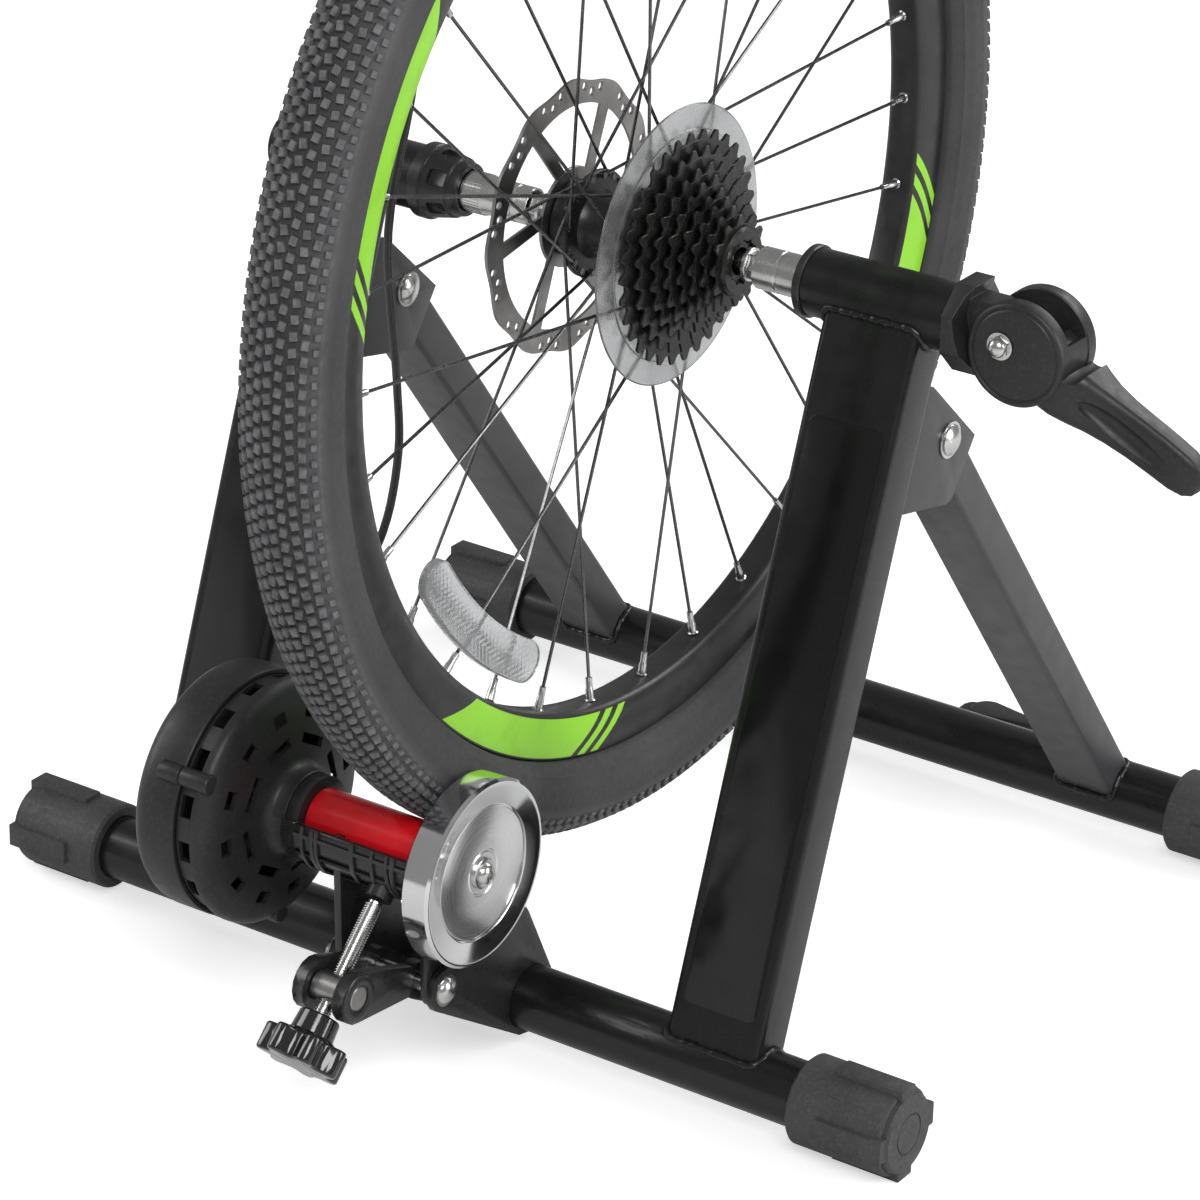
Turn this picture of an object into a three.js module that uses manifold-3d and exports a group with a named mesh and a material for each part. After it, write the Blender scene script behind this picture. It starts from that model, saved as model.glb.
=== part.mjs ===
// A bicycle's rear wheel standing in a folding magnetic turbo trainer.
// Millimetres and degrees, +Z up, +Y the way the wheel rolls, +X the side with the sprockets.
import * as THREE from "three";
import { mergeVertices } from "three/addons/utils/BufferGeometryUtils.js";
import Module from "manifold-3d";

const wasm = await Module();
wasm.setup();

// Driving dimensions
const wheel_radius = 345;
const tyre_width = 54;
const wheel_lift = 91;
const hub_width = 135;
const unit_overhang = 71;
const front_tube_reach = 283;
const base_length = 614;
const upright_spacing = 370;
const trainer_offset = -28;
const roller_radius = 17;
const roller_angle = 36;
const tube_radius = 19;
const tube_wall = 1.6;

// Clearances
const gap = 0.3;
const running_gap = 0.5;
const overrun = 2;
const merge_tolerance = 1e-4;

// Numbers of sides
const tyre_sides = 40;
const drum_sides = 32;
const tube_sides = 20;
const pin_sides = 12;
const hull_sides = 16;
const arc_steps = 5;
const wave_steps = 4;

// Rubber feet
const foot_radius = 26;
const foot_length = 64;
const foot_end = 10;
const foot_lug_height = 2;
const foot_lug_width = 15;
const foot_lug_length = 40;
const foot_lug_sink = 4;

// Uprights, struts and their folding pivots
const upright_width = 60;
const upright_depth = 30;
const upright_wall = 1.8;
const upright_corner = 4;
const strut_width = 38;
const strut_depth = 25;
const strut_tail = 17;
const pivot_drop = 71;
const pivot_lead = 46;
const gusset_plate = 3;
const gusset_play = 0.5;
const gusset_top_drop = 42;
const gusset_shoulder_lead = 15;
const gusset_tip_lead = 75;
const gusset_tip_drop = 68;
const gusset_nose_drop = 99;
const gusset_nose_radius = 9;
const gusset_foot_drop = 115;
const pivot_bolt_radius = 5;
const bolt_head_radius = 9;
const bolt_head_height = 5;
const bolt_nut_radius = 8;
const bolt_nut_height = 6;

// Clamp tubes and what moves in them
const clamp_wall = 2;
const right_clamp_start = 112;
const right_clamp_end = 210;
const left_clamp_reach = 143;
const left_clamp_length = 127;
const pin_radius = 12;
const pin_length = 92;
const pin_reach = 76;
const pin_recess_radius = 9.4;
const pin_recess_depth = 6;
const bush_lip = 5;
const bush_lip_radius = 20.5;
const bush_depth = 18;
const collar_length = 30;
const collar_skirt = 8;
const collar_base_radius = 22;
const collar_tip_radius = 15.5;
const collar_window_length = 11;
const collar_window_width = 9;
const collar_window_depth = 2;
const collar_windows = 6;
const screw_travel = 6;
const screw_radius = 6;
const screw_length = 80;
const knurl_length = 14;

// Cam housing and lever
const housing_radius = 27;
const housing_sides = 8;
const housing_overlap = 6;
const housing_nose = 26;
const spigot_length = 18;
const tongue_half = 9;
const tongue_radius = 17;
const cam_pivot_lead = 28;
const cam_eccentricity = 9;
const cam_disc_radius = 29;
const cam_disc_thickness = 10;
const cam_bolt_radius = 4;
const cam_nut_radius = 6.5;
const cam_nut_height = 4;
const lever_angle = -27;
const lever_swing = 100;
const lever_length = 128;
const lever_root_width = 34;
const lever_tip_width = 24;
const lever_thickness = 15;
const lever_bridge_start = 22;

// Bracket of the resistance unit on the rear tube
const unit_pivot_setback = 80;
const unit_pivot_rise = 40;
const trunnion_setback = 134;
const trunnion_rise = 53;
const unit_middle = -8;
const bracket_half = 36;
const bracket_plate = 4;
const bracket_ear_radius = 13;
const bracket_crown_setback = 10;
const bracket_crown_rise = 52;
const bracket_crown_radius = 9;
const bracket_hug_angle = -10;
const bracket_hug_sweep = 200;
const yoke_gap_half = 10;
const yoke_plate = 7;
const yoke_ear_radius = 15;
const yoke_neck_radius = 8;
const yoke_pivot_radius = 11;
const unit_bolt_radius = 5;
const trunnion_pin_radius = 7;
const trunnion_barrel_radius = 9;
const rod_radius = 5;
const rod_tip_play = 1;
const knob_lobes = 7;
const knob_radius = 25;
const knob_lobe_depth_share = 0.16;
const knob_height = 17;
const knob_neck_radius = 12;
const knob_neck_height = 13;
const knob_distance = 16;
const knob_grip_depth = 22;

// Roller, cradle and flywheel
const roller_left = -64;
const roller_right = 19;
const cradle_wall = 8;
const cradle_radius = 27;
const cradle_shell = 5;
const cradle_cheek_radius = 23;
const cradle_leg_plate = 4.5;
const cradle_leg_radius = 22;
const cradle_foot_radius = 11;
const cradle_open_angle = 165;
const cradle_sweep = 180;
const cradle_rib = 2;
const cradle_rib_width = 3;
const cradle_ribs = 3;
const cradle_pad_radius = 8;
const cradle_pad_height = 6;
const shaft_radius = 6;
const flywheel_radius = 54;
const flywheel_width = 18;
const flywheel_step = 3;
const flywheel_boss_radius = 15;
const flywheel_rim_share = 0.72;
const flywheel_bolt_radius = 4;
const flywheel_hub_depth = 12;
const washer_radius = 9;
const washer_height = 1.5;
const dome_radius = 6.5;
const dome_height = 4.5;

// Fan housing and what turns in it
const fan_radius = 72;
const fan_wall = 3;
const fan_round = 11;
const drum_left = -144;
const drum_right = -112;
const bell_left = -100;
const bell_shoulder = -94;
const bell_neck = -83;
const bell_neck_radius = 27;
const neck_radius = 24;
const slot_ring_radius = 69;
const slot_count = 16;
const slot_share = 0.48;
const vent_outer_count = 12;
const vent_outer_radius = 56;
const vent_outer_size = 8;
const vent_outer_width = 5;
const vent_inner_count = 8;
const vent_inner_radius = 41;
const vent_inner_size = 14;
const vent_inner_width = 4;
const fan_lugs = 3;
const fan_lug_radius = 6;
const fan_lug_angle = 150;
const fan_lug_length = 14;
const drum_boss_radius = 12;
const drum_boss_length = 8;
const rotor_radius = 62;
const rotor_thickness = 4;
const rotor_hub_radius = 11;
const carrier_radius = 60;
const carrier_thickness = 4;
const magnet_count = 6;
const magnet_radius = 9;
const magnet_height = 2;
const magnet_sides = 8;
const magnet_ring_share = 0.76;

// Rim, tyre and inner tube
const rim_depth = 26;
const rim_half_width = 13.5;
const rim_bed_half = 9;
const rim_bed = 3;
const rim_wall = 2.2;
const rim_well_half = 7;
const rim_knee_rise = 11;
const rim_knee_play = 0.4;
const rim_lip_fall = 0.5;
const rim_hook_fall = 0.8;
const tyre_bead_drop = 20;
const tyre_bead_depth = 10;
const bead_play = 0.8;
const tyre_side_wall = 2.6;
const tyre_tread = 5.5;
const tyre_outside_steps = 8;
const tyre_inside_steps = 5;
const tube_section_radius = 15;
const tube_skin = 1.4;
const tube_section_sides = 6;
const tube_ring_sides = 24;
const valve_radius = 4;
const valve_bore = 2;
const valve_length = 40;
const valve_angle = 108;

// Hub, spokes, brake disc and guard
const axle_radius = 5;
const axle_nut_radius = 8.5;
const axle_nut_length = 12;
const cone_radius = 9;
const cone_length = 6;
const hub_barrel_radius = 17;
const flange_radius = 31;
const flange_thickness = 3.5;
const left_flange = -35;
const right_flange = 16.5;
const rotor_seat = -51;
const rotor_seat_radius = 22;
const freehub_seat = 24;
const freehub_seat_radius = 14;
const spoke_count = 32;
const spoke_crosses = 3;
const spoke_circle_radius = 28;
const spoke_radius = 1.2;
const spoke_sides = 3;
const nipple_radius = 2.5;
const nipple_length = 13;
const first_nipple_angle = 1.4;
const brake_disc_radius = 80;
const brake_disc_wave = 2.6;
const brake_disc_waves = 12;
const brake_disc_band = 15;
const brake_disc_thickness = 2;
const brake_disc_arms = 6;
const brake_disc_arm_width = 7;
const brake_disc_lean = 22;
const brake_disc_hub_radius = 29;
const guard_radius = 80;
const guard_thickness = 1.5;
const guard_dish = 3;
const reflector_rim_gap = 15;
const reflector_width = 25;
const reflector_angle = 226.4;
const reflector_span = 27;
const reflector_thickness = 6;
const reflector_place = 3.9;

// Sprockets
const sprocket_teeth = [32, 28, 24, 21, 18, 16, 14, 12];
const chain_pitch = 12.7;
const sprocket_pitch = 4.7;
const sprocket_thickness = 2;
const first_sprocket = 26;
const tooth_height = 3.4;
const tooth_root = 3.6;
const tooth_flank_share = 0.34;
const freehub_radius = 17;
const freehub_spline = 1;
const freehub_end = 63;
const lockring_radius = 20;

// Remote cable and its lever
const cable_radius = 2.5;
const cable_sides = 8;
const cable_steps = 64;
const gland_radius = 6;
const gland_length = 14;
const gland_flats = 6;
const gland_angle = 39.4;
const remote_length = 42;
const remote_width = 26;
const remote_height = 16;
const remote_corner = 8;
const remote_dial_radius = 11;
const remote_dial_height = 4;
const remote_arm_length = 34;
const remote_arm_width = 9;
const remote_pin_radius = 3;
const cable_points = [
  [-128, -144.5, 196.4],
  [-127, -133, 205.6],
  [-120, -111, 228],
  [-110, -96, 262],
  [-104, -90, 310],
  [-100, -97, 356],
  [-101, -104, 446],
  [-102, -80, 526],
  [-108, -62, 585],
  [-132, -38, 635],
  [-178, -12, 648],
  [-222, 10, 600],
  [-238, 26, 520],
  [-241, 30, 436],
  [-245, 44, 380],
  [-243, 100, 292],
  [-241, 190, 176],
  [-241, 268, 88],
  [-238, 318, 36],
  [-222, 338, 6],
  [-180, 346, 2.8],
  [-110, 344, 2.8],
  [-40, 348, 2.8],
  [6, 346, 4.8],
  [20, 346, 5],
];

// Places worked out from the sizes above
const base_height = foot_radius + foot_lug_height;
const axle_height = wheel_radius + wheel_lift;
const roller_distance = wheel_radius + roller_radius + gap;
const roller_line = new THREE.Vector2(
  -roller_distance * Math.sin(radians(roller_angle)),
  axle_height - roller_distance * Math.cos(radians(roller_angle)),
);
const rear_tube_setback = -roller_line.x - unit_overhang;
const rear_tube = new THREE.Vector2(-rear_tube_setback, base_height);
const front_tube = new THREE.Vector2(front_tube_reach, base_height);
const axle_line = new THREE.Vector2(0, axle_height);
const upright_length = axle_line.distanceTo(rear_tube);
const upright_tilt = Math.atan2(rear_tube_setback, axle_height - base_height);
const right_side = trainer_offset + upright_spacing / 2;
const left_side = trainer_offset - upright_spacing / 2;
const pivot_forward = upright_depth / 2 + pivot_lead;
const pivot_line = new THREE.Vector2(
  pivot_forward * Math.cos(upright_tilt) - pivot_drop * Math.sin(upright_tilt),
  axle_height - pivot_forward * Math.sin(upright_tilt) - pivot_drop * Math.cos(upright_tilt),
);
const strut_length = pivot_line.distanceTo(front_tube);
const strut_tilt = Math.atan2(front_tube.x - pivot_line.x, pivot_line.y - front_tube.y);
const unit_pivot = new THREE.Vector2(rear_tube.x - unit_pivot_setback, rear_tube.y + unit_pivot_rise);
const trunnion = new THREE.Vector2(rear_tube.x - trunnion_setback, rear_tube.y + trunnion_rise);
const rod_lean = Math.atan2(roller_line.x - trunnion.x, roller_line.y - trunnion.y);
const rod_top =
  trunnion.distanceTo(roller_line) - cradle_radius - cradle_pad_height - rod_tip_play;
const foot_bore = tube_radius + gap;
const clamp_bore = tube_radius - clamp_wall;
const left_clamp_start = -left_clamp_reach;
const left_clamp_end = left_clamp_start - left_clamp_length;
const cam_pivot = right_clamp_end + cam_pivot_lead;
const cam_disc_inner = tongue_half + running_gap;
const cam_disc_outer = cam_disc_inner + cam_disc_thickness;
const tyre_section_radius = tyre_width / 2;
const rim_outer_radius = wheel_radius - tyre_section_radius - tyre_bead_drop;
const rim_inner_radius = rim_outer_radius - rim_depth;
const tyre_bead_radius = rim_outer_radius - tyre_bead_depth;
const tyre_bead_half = rim_half_width - rim_wall - bead_play;
const reflector_outer_radius = rim_inner_radius - reflector_rim_gap;
const reflector_inner_radius = reflector_outer_radius - reflector_width;

// Materials
function material(color, roughness, metalness, extra = {}) {
  return new THREE.MeshStandardMaterial({ color, roughness, metalness, ...extra });
}
const black_paint = material(0x0c0c0d, 0.3, 0);
const black_plastic = material(0x141415, 0.5, 0);
const foot_rubber = material(0x1b1b1c, 0.8, 0);
const tyre_rubber = material(0x242424, 0.85, 0);
const zinc = material(0xb9bbbd, 0.35, 1);
const chrome = material(0xdfe2e4, 0.12, 1);
const bare_steel = material(0x8f9193, 0.4, 1);
const black_alloy = material(0x151516, 0.35, 0.4);
const red_plastic = material(0xb51317, 0.25, 0);
const knob_plastic = material(0x0d0d0e, 0.15, 0);
const clear_plastic = material(0xdadddd, 0.15, 0, { transparent: true, opacity: 0.45 });
const sprocket_steel = material(0x232323, 0.35, 0.8);

function radians(degrees) {
  return (degrees * Math.PI) / 180;
}

// A three.js geometry as a closed solid that can be joined and cut
function solidOf(geometry) {
  const bare = new THREE.BufferGeometry();
  bare.setAttribute("position", geometry.getAttribute("position").clone());
  if (geometry.index) {
    bare.setIndex(geometry.index.clone());
  }
  const merged = mergeVertices(bare, merge_tolerance);
  const corners = merged.index.array;
  const kept = [];
  for (let i = 0; i < corners.length; i += 3) {
    const [a, b, c] = [corners[i], corners[i + 1], corners[i + 2]];
    if (a !== b && b !== c && c !== a) {
      kept.push(a, b, c);
    }
  }
  const vertProperties = merged.getAttribute("position").array;
  const build = (indices) =>
    new wasm.Manifold(
      new wasm.Mesh({ numProp: 3, vertProperties, triVerts: new Uint32Array(indices) }),
    );
  const solid = build(kept);
  if (solid.volume() > 0) {
    return solid;
  }
  const flipped = [];
  for (let i = 0; i < kept.length; i += 3) {
    flipped.push(kept[i], kept[i + 2], kept[i + 1]);
  }
  return build(flipped);
}

// The geometry of a finished solid
function geometryOf(solid) {
  const mesh = solid.getMesh();
  const geometry = new THREE.BufferGeometry();
  geometry.setAttribute("position", new THREE.BufferAttribute(mesh.vertProperties, mesh.numProp));
  geometry.setIndex(new THREE.BufferAttribute(mesh.triVerts, 1));
  geometry.computeVertexNormals();
  return geometry;
}

function join(...pieces) {
  return geometryOf(pieces.map(solidOf).reduce((whole, piece) => whole.add(piece)));
}

function cut(body, ...tools) {
  return geometryOf(tools.map(solidOf).reduce((whole, tool) => whole.subtract(tool), solidOf(body)));
}

function common(body, other) {
  return geometryOf(solidOf(body).intersect(solidOf(other)));
}

// A solid of revolution about the X axis, from a profile of [x, radius] points
function turned(profile, sides) {
  const points = profile.map(([x, radius]) => new THREE.Vector2(radius, x));
  if (THREE.ShapeUtils.area(points) < 0) {
    points.reverse();
  }
  return new THREE.LatheGeometry(points, sides).rotateZ(-Math.PI / 2);
}

// A rod along the X axis from one place to another
function rodX(radius, from, to, sides = pin_sides) {
  return turned([[from, 0], [from, radius], [to, radius], [to, 0]], sides);
}

// A ring along the X axis, open through its bore
function ringX(bore, radius, from, to, sides = tube_sides) {
  return turned([[from, bore], [from, radius], [to, radius], [to, bore], [from, bore]], sides);
}

// A rod along the Z axis
function rodZ(radius, from, to, sides = pin_sides) {
  return rodX(radius, from, to, sides).rotateY(-Math.PI / 2);
}

// A rod along the Y axis
function rodY(radius, from, to, sides = pin_sides) {
  return rodX(radius, from, to, sides).rotateZ(Math.PI / 2);
}

// A plate whose outline lies in the YZ plane, extruded along X
function plateX(shape, from, to, curveSegments = arc_steps) {
  const solid = new THREE.ExtrudeGeometry(shape, {
    depth: to - from,
    bevelEnabled: false,
    curveSegments,
  });
  const turn = new THREE.Matrix4().makeBasis(
    new THREE.Vector3(0, 1, 0),
    new THREE.Vector3(0, 0, 1),
    new THREE.Vector3(1, 0, 0),
  );
  return solid.applyMatrix4(turn).translate(from, 0, 0);
}

// A plate whose outline lies in the XZ plane, centred on Y
function plateY(shape, from, to, curveSegments = arc_steps) {
  const solid = new THREE.ExtrudeGeometry(shape, {
    depth: to - from,
    bevelEnabled: false,
    curveSegments,
  });
  return solid.rotateX(Math.PI / 2).translate(0, to, 0);
}

// A plate whose outline lies in the XY plane, extruded along Z
function plateZ(shape, from, to, curveSegments = arc_steps) {
  return new THREE.ExtrudeGeometry(shape, {
    depth: to - from,
    bevelEnabled: false,
    curveSegments,
  }).translate(0, 0, from);
}

function box(width, depth, height) {
  return new THREE.BoxGeometry(width, depth, height);
}

function roundedRectangle(width, height, radius) {
  const shape = new THREE.Shape();
  const [w, h] = [width / 2 - radius, height / 2 - radius];
  shape.absarc(w, -h, radius, -Math.PI / 2, 0);
  shape.absarc(w, h, radius, 0, Math.PI / 2);
  shape.absarc(-w, h, radius, Math.PI / 2, Math.PI);
  shape.absarc(-w, -h, radius, Math.PI, (3 * Math.PI) / 2);
  return shape;
}

// The outline of a belt drawn tight round discs of [place, radius]
function beltOutline(...discs) {
  const points = discs.flatMap(([place, radius]) =>
    [...Array(hull_sides).keys()].map((i) => {
      const angle = (i * 2 * Math.PI) / hull_sides;
      return new THREE.Vector2(Math.cos(angle), Math.sin(angle)).multiplyScalar(radius).add(place);
    }),
  );
  points.sort((a, b) => a.x - b.x || a.y - b.y);
  const turnsLeft = (a, b, c) => b.clone().sub(a).cross(c.clone().sub(b)) > 0;
  const chain = (ordered) => {
    const kept = [];
    for (const point of ordered) {
      while (kept.length > 1 && !turnsLeft(kept.at(-2), kept.at(-1), point)) {
        kept.pop();
      }
      kept.push(point);
    }
    return kept.slice(0, -1);
  };
  return new THREE.Shape([...chain(points), ...chain(points.reverse())]);
}

function circle(x, y, radius) {
  return new THREE.Path().absarc(x, y, radius, 0, 2 * Math.PI);
}

// The arc of a ring between two angles, as an outline
function ringSector(inner, outer, from, sweep) {
  const shape = new THREE.Shape();
  shape.absarc(0, 0, outer, from, from + sweep);
  shape.absarc(0, 0, inner, from + sweep, from, true);
  return shape;
}

const part = new THREE.Group();

function group(x, y, z, tilt = 0) {
  const placed = new THREE.Group();
  placed.position.set(x, y, z);
  placed.rotation.x = tilt;
  part.add(placed);
  return placed;
}

function piece(name, geometry, finish, parent, x = 0) {
  const mesh = new THREE.Mesh(geometry, finish);
  mesh.name = name;
  mesh.position.x = x;
  parent.add(mesh);
  return mesh;
}

// Rubber foot: a blind cup that opens towards the tube, with lengthwise lugs
function foot() {
  const cup = turned(
    [
      [0, foot_bore],
      [0, foot_radius],
      [foot_length, foot_radius],
      [foot_length, 0],
      [foot_length - foot_end, 0],
      [foot_length - foot_end, foot_bore],
      [0, foot_bore],
    ],
    tube_sides,
  );
  const lugs = [0, 1, 2, 3].map((turn) =>
    cut(
      box(foot_lug_length, foot_lug_width, foot_lug_height + foot_lug_sink)
        .translate(
          foot_length - foot_lug_length / 2,
          0,
          -foot_radius - (foot_lug_height - foot_lug_sink) / 2,
        )
        .rotateX((turn * Math.PI) / 2),
      rodX(foot_bore, -overrun, foot_length - foot_end),
    ),
  );
  return join(cup, ...lugs);
}

// A base tube with its two feet
function baseTube(place, end_name, parent) {
  const tube_half = base_length / 2 - foot_end - gap;
  const axis = group(trainer_offset, place.x, place.y);
  parent.push(axis);
  piece(
    end_name + "_base_tube",
    ringX(tube_radius - tube_wall, tube_radius, -tube_half, tube_half),
    black_paint,
    axis,
  );
  const foot_start = base_length / 2 - foot_length;
  piece(end_name + "_right_foot", foot(), foot_rubber, axis, foot_start);
  piece(end_name + "_left_foot", foot().rotateZ(Math.PI), foot_rubber, axis, -foot_start);
}

// Rectangular tube that stands along Z, with its ends shaped to the round tubes that it meets
function legTube(width, depth, top, bottom, cutters) {
  const outer = roundedRectangle(width, depth, upright_corner);
  outer.holes.push(
    roundedRectangle(
      width - 2 * upright_wall,
      depth - 2 * upright_wall,
      upright_corner - upright_wall,
    ),
  );
  return cut(plateZ(outer, bottom, top, 1), ...cutters);
}

function upright() {
  const reach = upright_width;
  return legTube(upright_width, upright_depth, 0, -upright_length, [
    rodX(tube_radius + gap, -reach, reach, tube_sides),
    rodX(tube_radius + gap, -reach, reach, tube_sides).translate(0, 0, -upright_length),
  ]);
}

function strut() {
  const reach = strut_width;
  return legTube(strut_width, strut_depth, strut_tail, -strut_length, [
    rodX(tube_radius + gap, -reach, reach, tube_sides).translate(0, 0, -strut_length),
    rodX(pivot_bolt_radius + gap, -reach, reach),
  ]);
}

// U-shaped gusset in front of the upright, with the folding pivot through its cheeks
function gusset() {
  const half = strut_width / 2 + gusset_play;
  const face = upright_depth / 2 + gap;
  const shape = new THREE.Shape();
  shape.moveTo(face, -gusset_top_drop);
  shape.lineTo(face, -gusset_foot_drop);
  const nose_y = face + gusset_tip_lead - gusset_nose_radius;
  shape.lineTo(nose_y - gusset_nose_radius, -gusset_nose_drop - gusset_nose_radius);
  shape.absarc(
    nose_y - gusset_nose_radius,
    -gusset_nose_drop,
    gusset_nose_radius,
    -Math.PI / 2,
    0,
  );
  shape.lineTo(face + gusset_tip_lead, -gusset_tip_drop);
  shape.lineTo(face + gusset_shoulder_lead, -gusset_top_drop);
  const whole = plateX(shape, -half - gusset_plate, half + gusset_plate);
  const channel = box(2 * half, gusset_tip_lead + overrun, gusset_foot_drop).translate(
    0,
    face + gusset_plate + (gusset_tip_lead + overrun) / 2,
    -gusset_tip_drop,
  );
  const hole = rodX(pivot_bolt_radius + gap, -upright_width, upright_width).translate(
    0,
    pivot_forward,
    -pivot_drop,
  );
  return cut(whole, channel, hole);
}

// Domed bolt along X, with its nut on the far side, round a stack of the given half width
function domedBolt(half, radius) {
  const head = half + gap;
  return turned(
    [
      [-head - bolt_nut_height, 0],
      [-head - bolt_nut_height, bolt_nut_radius],
      [-head, bolt_nut_radius],
      [-head, radius],
      [head, radius],
      [head, bolt_head_radius],
      [head + bolt_head_height * Math.sin(radians(45)), bolt_head_radius * Math.cos(radians(45))],
      [head + bolt_head_height, 0],
    ],
    pin_sides,
  );
}

function frameSide(name, x, bolt_turn) {
  const side = group(x, 0, axle_height, -upright_tilt);
  piece(name + "_upright", upright(), black_paint, side);
  piece(name + "_gusset", gusset(), black_paint, side);
  const bolt = domedBolt(strut_width / 2 + gusset_play + gusset_plate, pivot_bolt_radius)
    .rotateZ(bolt_turn)
    .translate(0, pivot_forward, -pivot_drop);
  piece(name + "_pivot_bolt", bolt, zinc, side);
}

// Clamp tube on the left
function clampTube(from, to) {
  return ringX(clamp_bore, tube_radius, from, to);
}

function pushPin() {
  const start = pin_reach;
  return turned(
    [
      [start + pin_recess_depth, 0],
      [start + pin_recess_depth, pin_recess_radius],
      [start, pin_recess_radius],
      [start, pin_radius],
      [start + pin_length, pin_radius],
      [start + pin_length, 0],
    ],
    tube_sides,
  );
}

// Clamp tube on the right, with the bush that guides the push pin pressed into its mouth
function bushedTube() {
  const face = right_clamp_start;
  return turned(
    [
      [face - bush_lip, pin_radius + gap],
      [face - bush_lip, bush_lip_radius - bush_lip / 4],
      [face - bush_lip / 2, bush_lip_radius],
      [face, bush_lip_radius],
      [face, tube_radius],
      [right_clamp_end, tube_radius],
      [right_clamp_end, clamp_bore],
      [face + bush_depth, clamp_bore],
      [face + bush_depth, pin_radius + gap],
      [face - bush_lip, pin_radius + gap],
    ],
    tube_sides,
  );
}

function camHousing() {
  const start = right_clamp_end - housing_overlap;
  const end = right_clamp_end + housing_nose;
  const sleeve = turned(
    [[start, 0], [start, housing_radius], [end, housing_radius], [end, 0]],
    housing_sides,
  ).rotateX(Math.PI / housing_sides);
  const disc_places = [0, 1, 2].map((step) => {
    const angle = radians(lever_angle + (step * lever_swing) / 2);
    return new THREE.Vector2(
      cam_pivot + cam_eccentricity * Math.cos(angle),
      cam_eccentricity * Math.sin(angle),
    );
  });
  const reach = housing_radius + overrun;
  const sweep_room = plateY(
    beltOutline(...disc_places.map((place) => [place, cam_disc_radius + 2 * running_gap])),
    -reach,
    reach,
  );
  const tongue = plateY(
    beltOutline(
      [new THREE.Vector2(right_clamp_end, 0), tongue_radius],
      [new THREE.Vector2(cam_pivot, 0), tongue_radius],
    ),
    -tongue_half,
    tongue_half,
  );
  const spigot = rodX(clamp_bore - gap, start - spigot_length, right_clamp_end + gap, tube_sides);
  return cut(
    join(cut(sleeve, sweep_room), spigot, tongue),
    ringX(
      clamp_bore - gap,
      tube_radius + gap,
      start - spigot_length - overrun,
      right_clamp_end + gap,
    ),
    rodY(cam_bolt_radius + gap, -reach, reach).translate(cam_pivot, 0, 0),
  );
}

// Lever made of two eccentric discs round the tongue, bridged into a tapered handle
function camLever() {
  const disc = (from, to) =>
    rodY(cam_disc_radius, from, to, tube_sides).translate(cam_eccentricity, 0, 0);
  const root_x = tongue_radius + running_gap;
  const handle_shape = new THREE.Shape();
  handle_shape.moveTo(root_x, -lever_root_width / 2);
  handle_shape.quadraticCurveTo(
    lever_length / 2,
    -lever_root_width / 2,
    lever_length - lever_tip_width / 2,
    -lever_tip_width / 2,
  );
  handle_shape.absarc(
    lever_length - lever_tip_width / 2,
    0,
    lever_tip_width / 2,
    -Math.PI / 2,
    Math.PI / 2,
  );
  handle_shape.quadraticCurveTo(lever_length / 2, lever_root_width / 3, root_x, lever_root_width / 2);
  const handle = plateY(handle_shape, -lever_thickness / 2, lever_thickness / 2);
  const bridge = box(lever_bridge_start, 2 * cam_disc_outer, lever_root_width).translate(
    root_x + lever_bridge_start / 2,
    0,
    0,
  );
  const bridge_trim = rodY(cam_disc_radius, -2 * cam_disc_outer, 2 * cam_disc_outer, tube_sides)
    .translate(cam_eccentricity, 0, 0);
  return cut(
    join(
      common(bridge, bridge_trim),
      handle,
      disc(-cam_disc_outer, -cam_disc_inner),
      disc(cam_disc_inner, cam_disc_outer),
    ),
    rodY(tongue_radius + running_gap, -cam_disc_inner, cam_disc_inner, tube_sides),
    rodY(cam_bolt_radius + gap, -2 * cam_disc_outer, 2 * cam_disc_outer),
  );
}

function camBolt() {
  const end = cam_disc_outer + gap;
  return turned(
    [
      [-end - cam_nut_height, 0],
      [-end - cam_nut_height, cam_nut_radius],
      [-end, cam_nut_radius],
      [-end, cam_bolt_radius],
      [end, cam_bolt_radius],
      [end, cam_nut_radius],
      [end + cam_nut_height / 2, cam_nut_radius],
      [end + cam_nut_height / 2, cam_bolt_radius],
      [end + cam_nut_height, cam_bolt_radius * Math.cos(radians(45))],
      [end + cam_nut_height * 1.5, 0],
    ],
    pin_sides,
  ).rotateZ(-Math.PI / 2);
}

// Clamp on the left: tapered lock collar with windows, and the knurled cup on its screw
function lockCollar() {
  const mouth = left_clamp_start + gap;
  const tip = mouth + collar_length - collar_skirt;
  const body = turned(
    [
      [mouth - collar_skirt, tube_radius + gap],
      [mouth - collar_skirt, collar_base_radius],
      [mouth, collar_base_radius],
      [tip - collar_length / 5, collar_tip_radius + collar_window_depth],
      [tip, collar_tip_radius],
      [tip, pin_radius + gap],
      [tip - screw_travel - gap, pin_radius + gap],
      [tip - screw_travel - gap, screw_radius + gap],
      [mouth, screw_radius + gap],
      [mouth, tube_radius + gap],
      [mouth - collar_skirt, tube_radius + gap],
    ],
    tube_sides,
  );
  const taper = Math.atan2(
    collar_base_radius - collar_tip_radius - collar_window_depth,
    collar_length - collar_skirt - collar_length / 5,
  );
  const middle = (mouth + tip) / 2 - collar_window_depth / 2;
  const middle_radius = (collar_base_radius + collar_tip_radius + collar_window_depth) / 2;
  const windows = [...Array(collar_windows).keys()].map((i) =>
    box(collar_window_length, collar_window_width, 2 * collar_window_depth)
      .rotateY(taper)
      .translate(middle, 0, middle_radius)
      .rotateX((i * 2 * Math.PI) / collar_windows),
  );
  return cut(body, ...windows);
}

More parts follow.
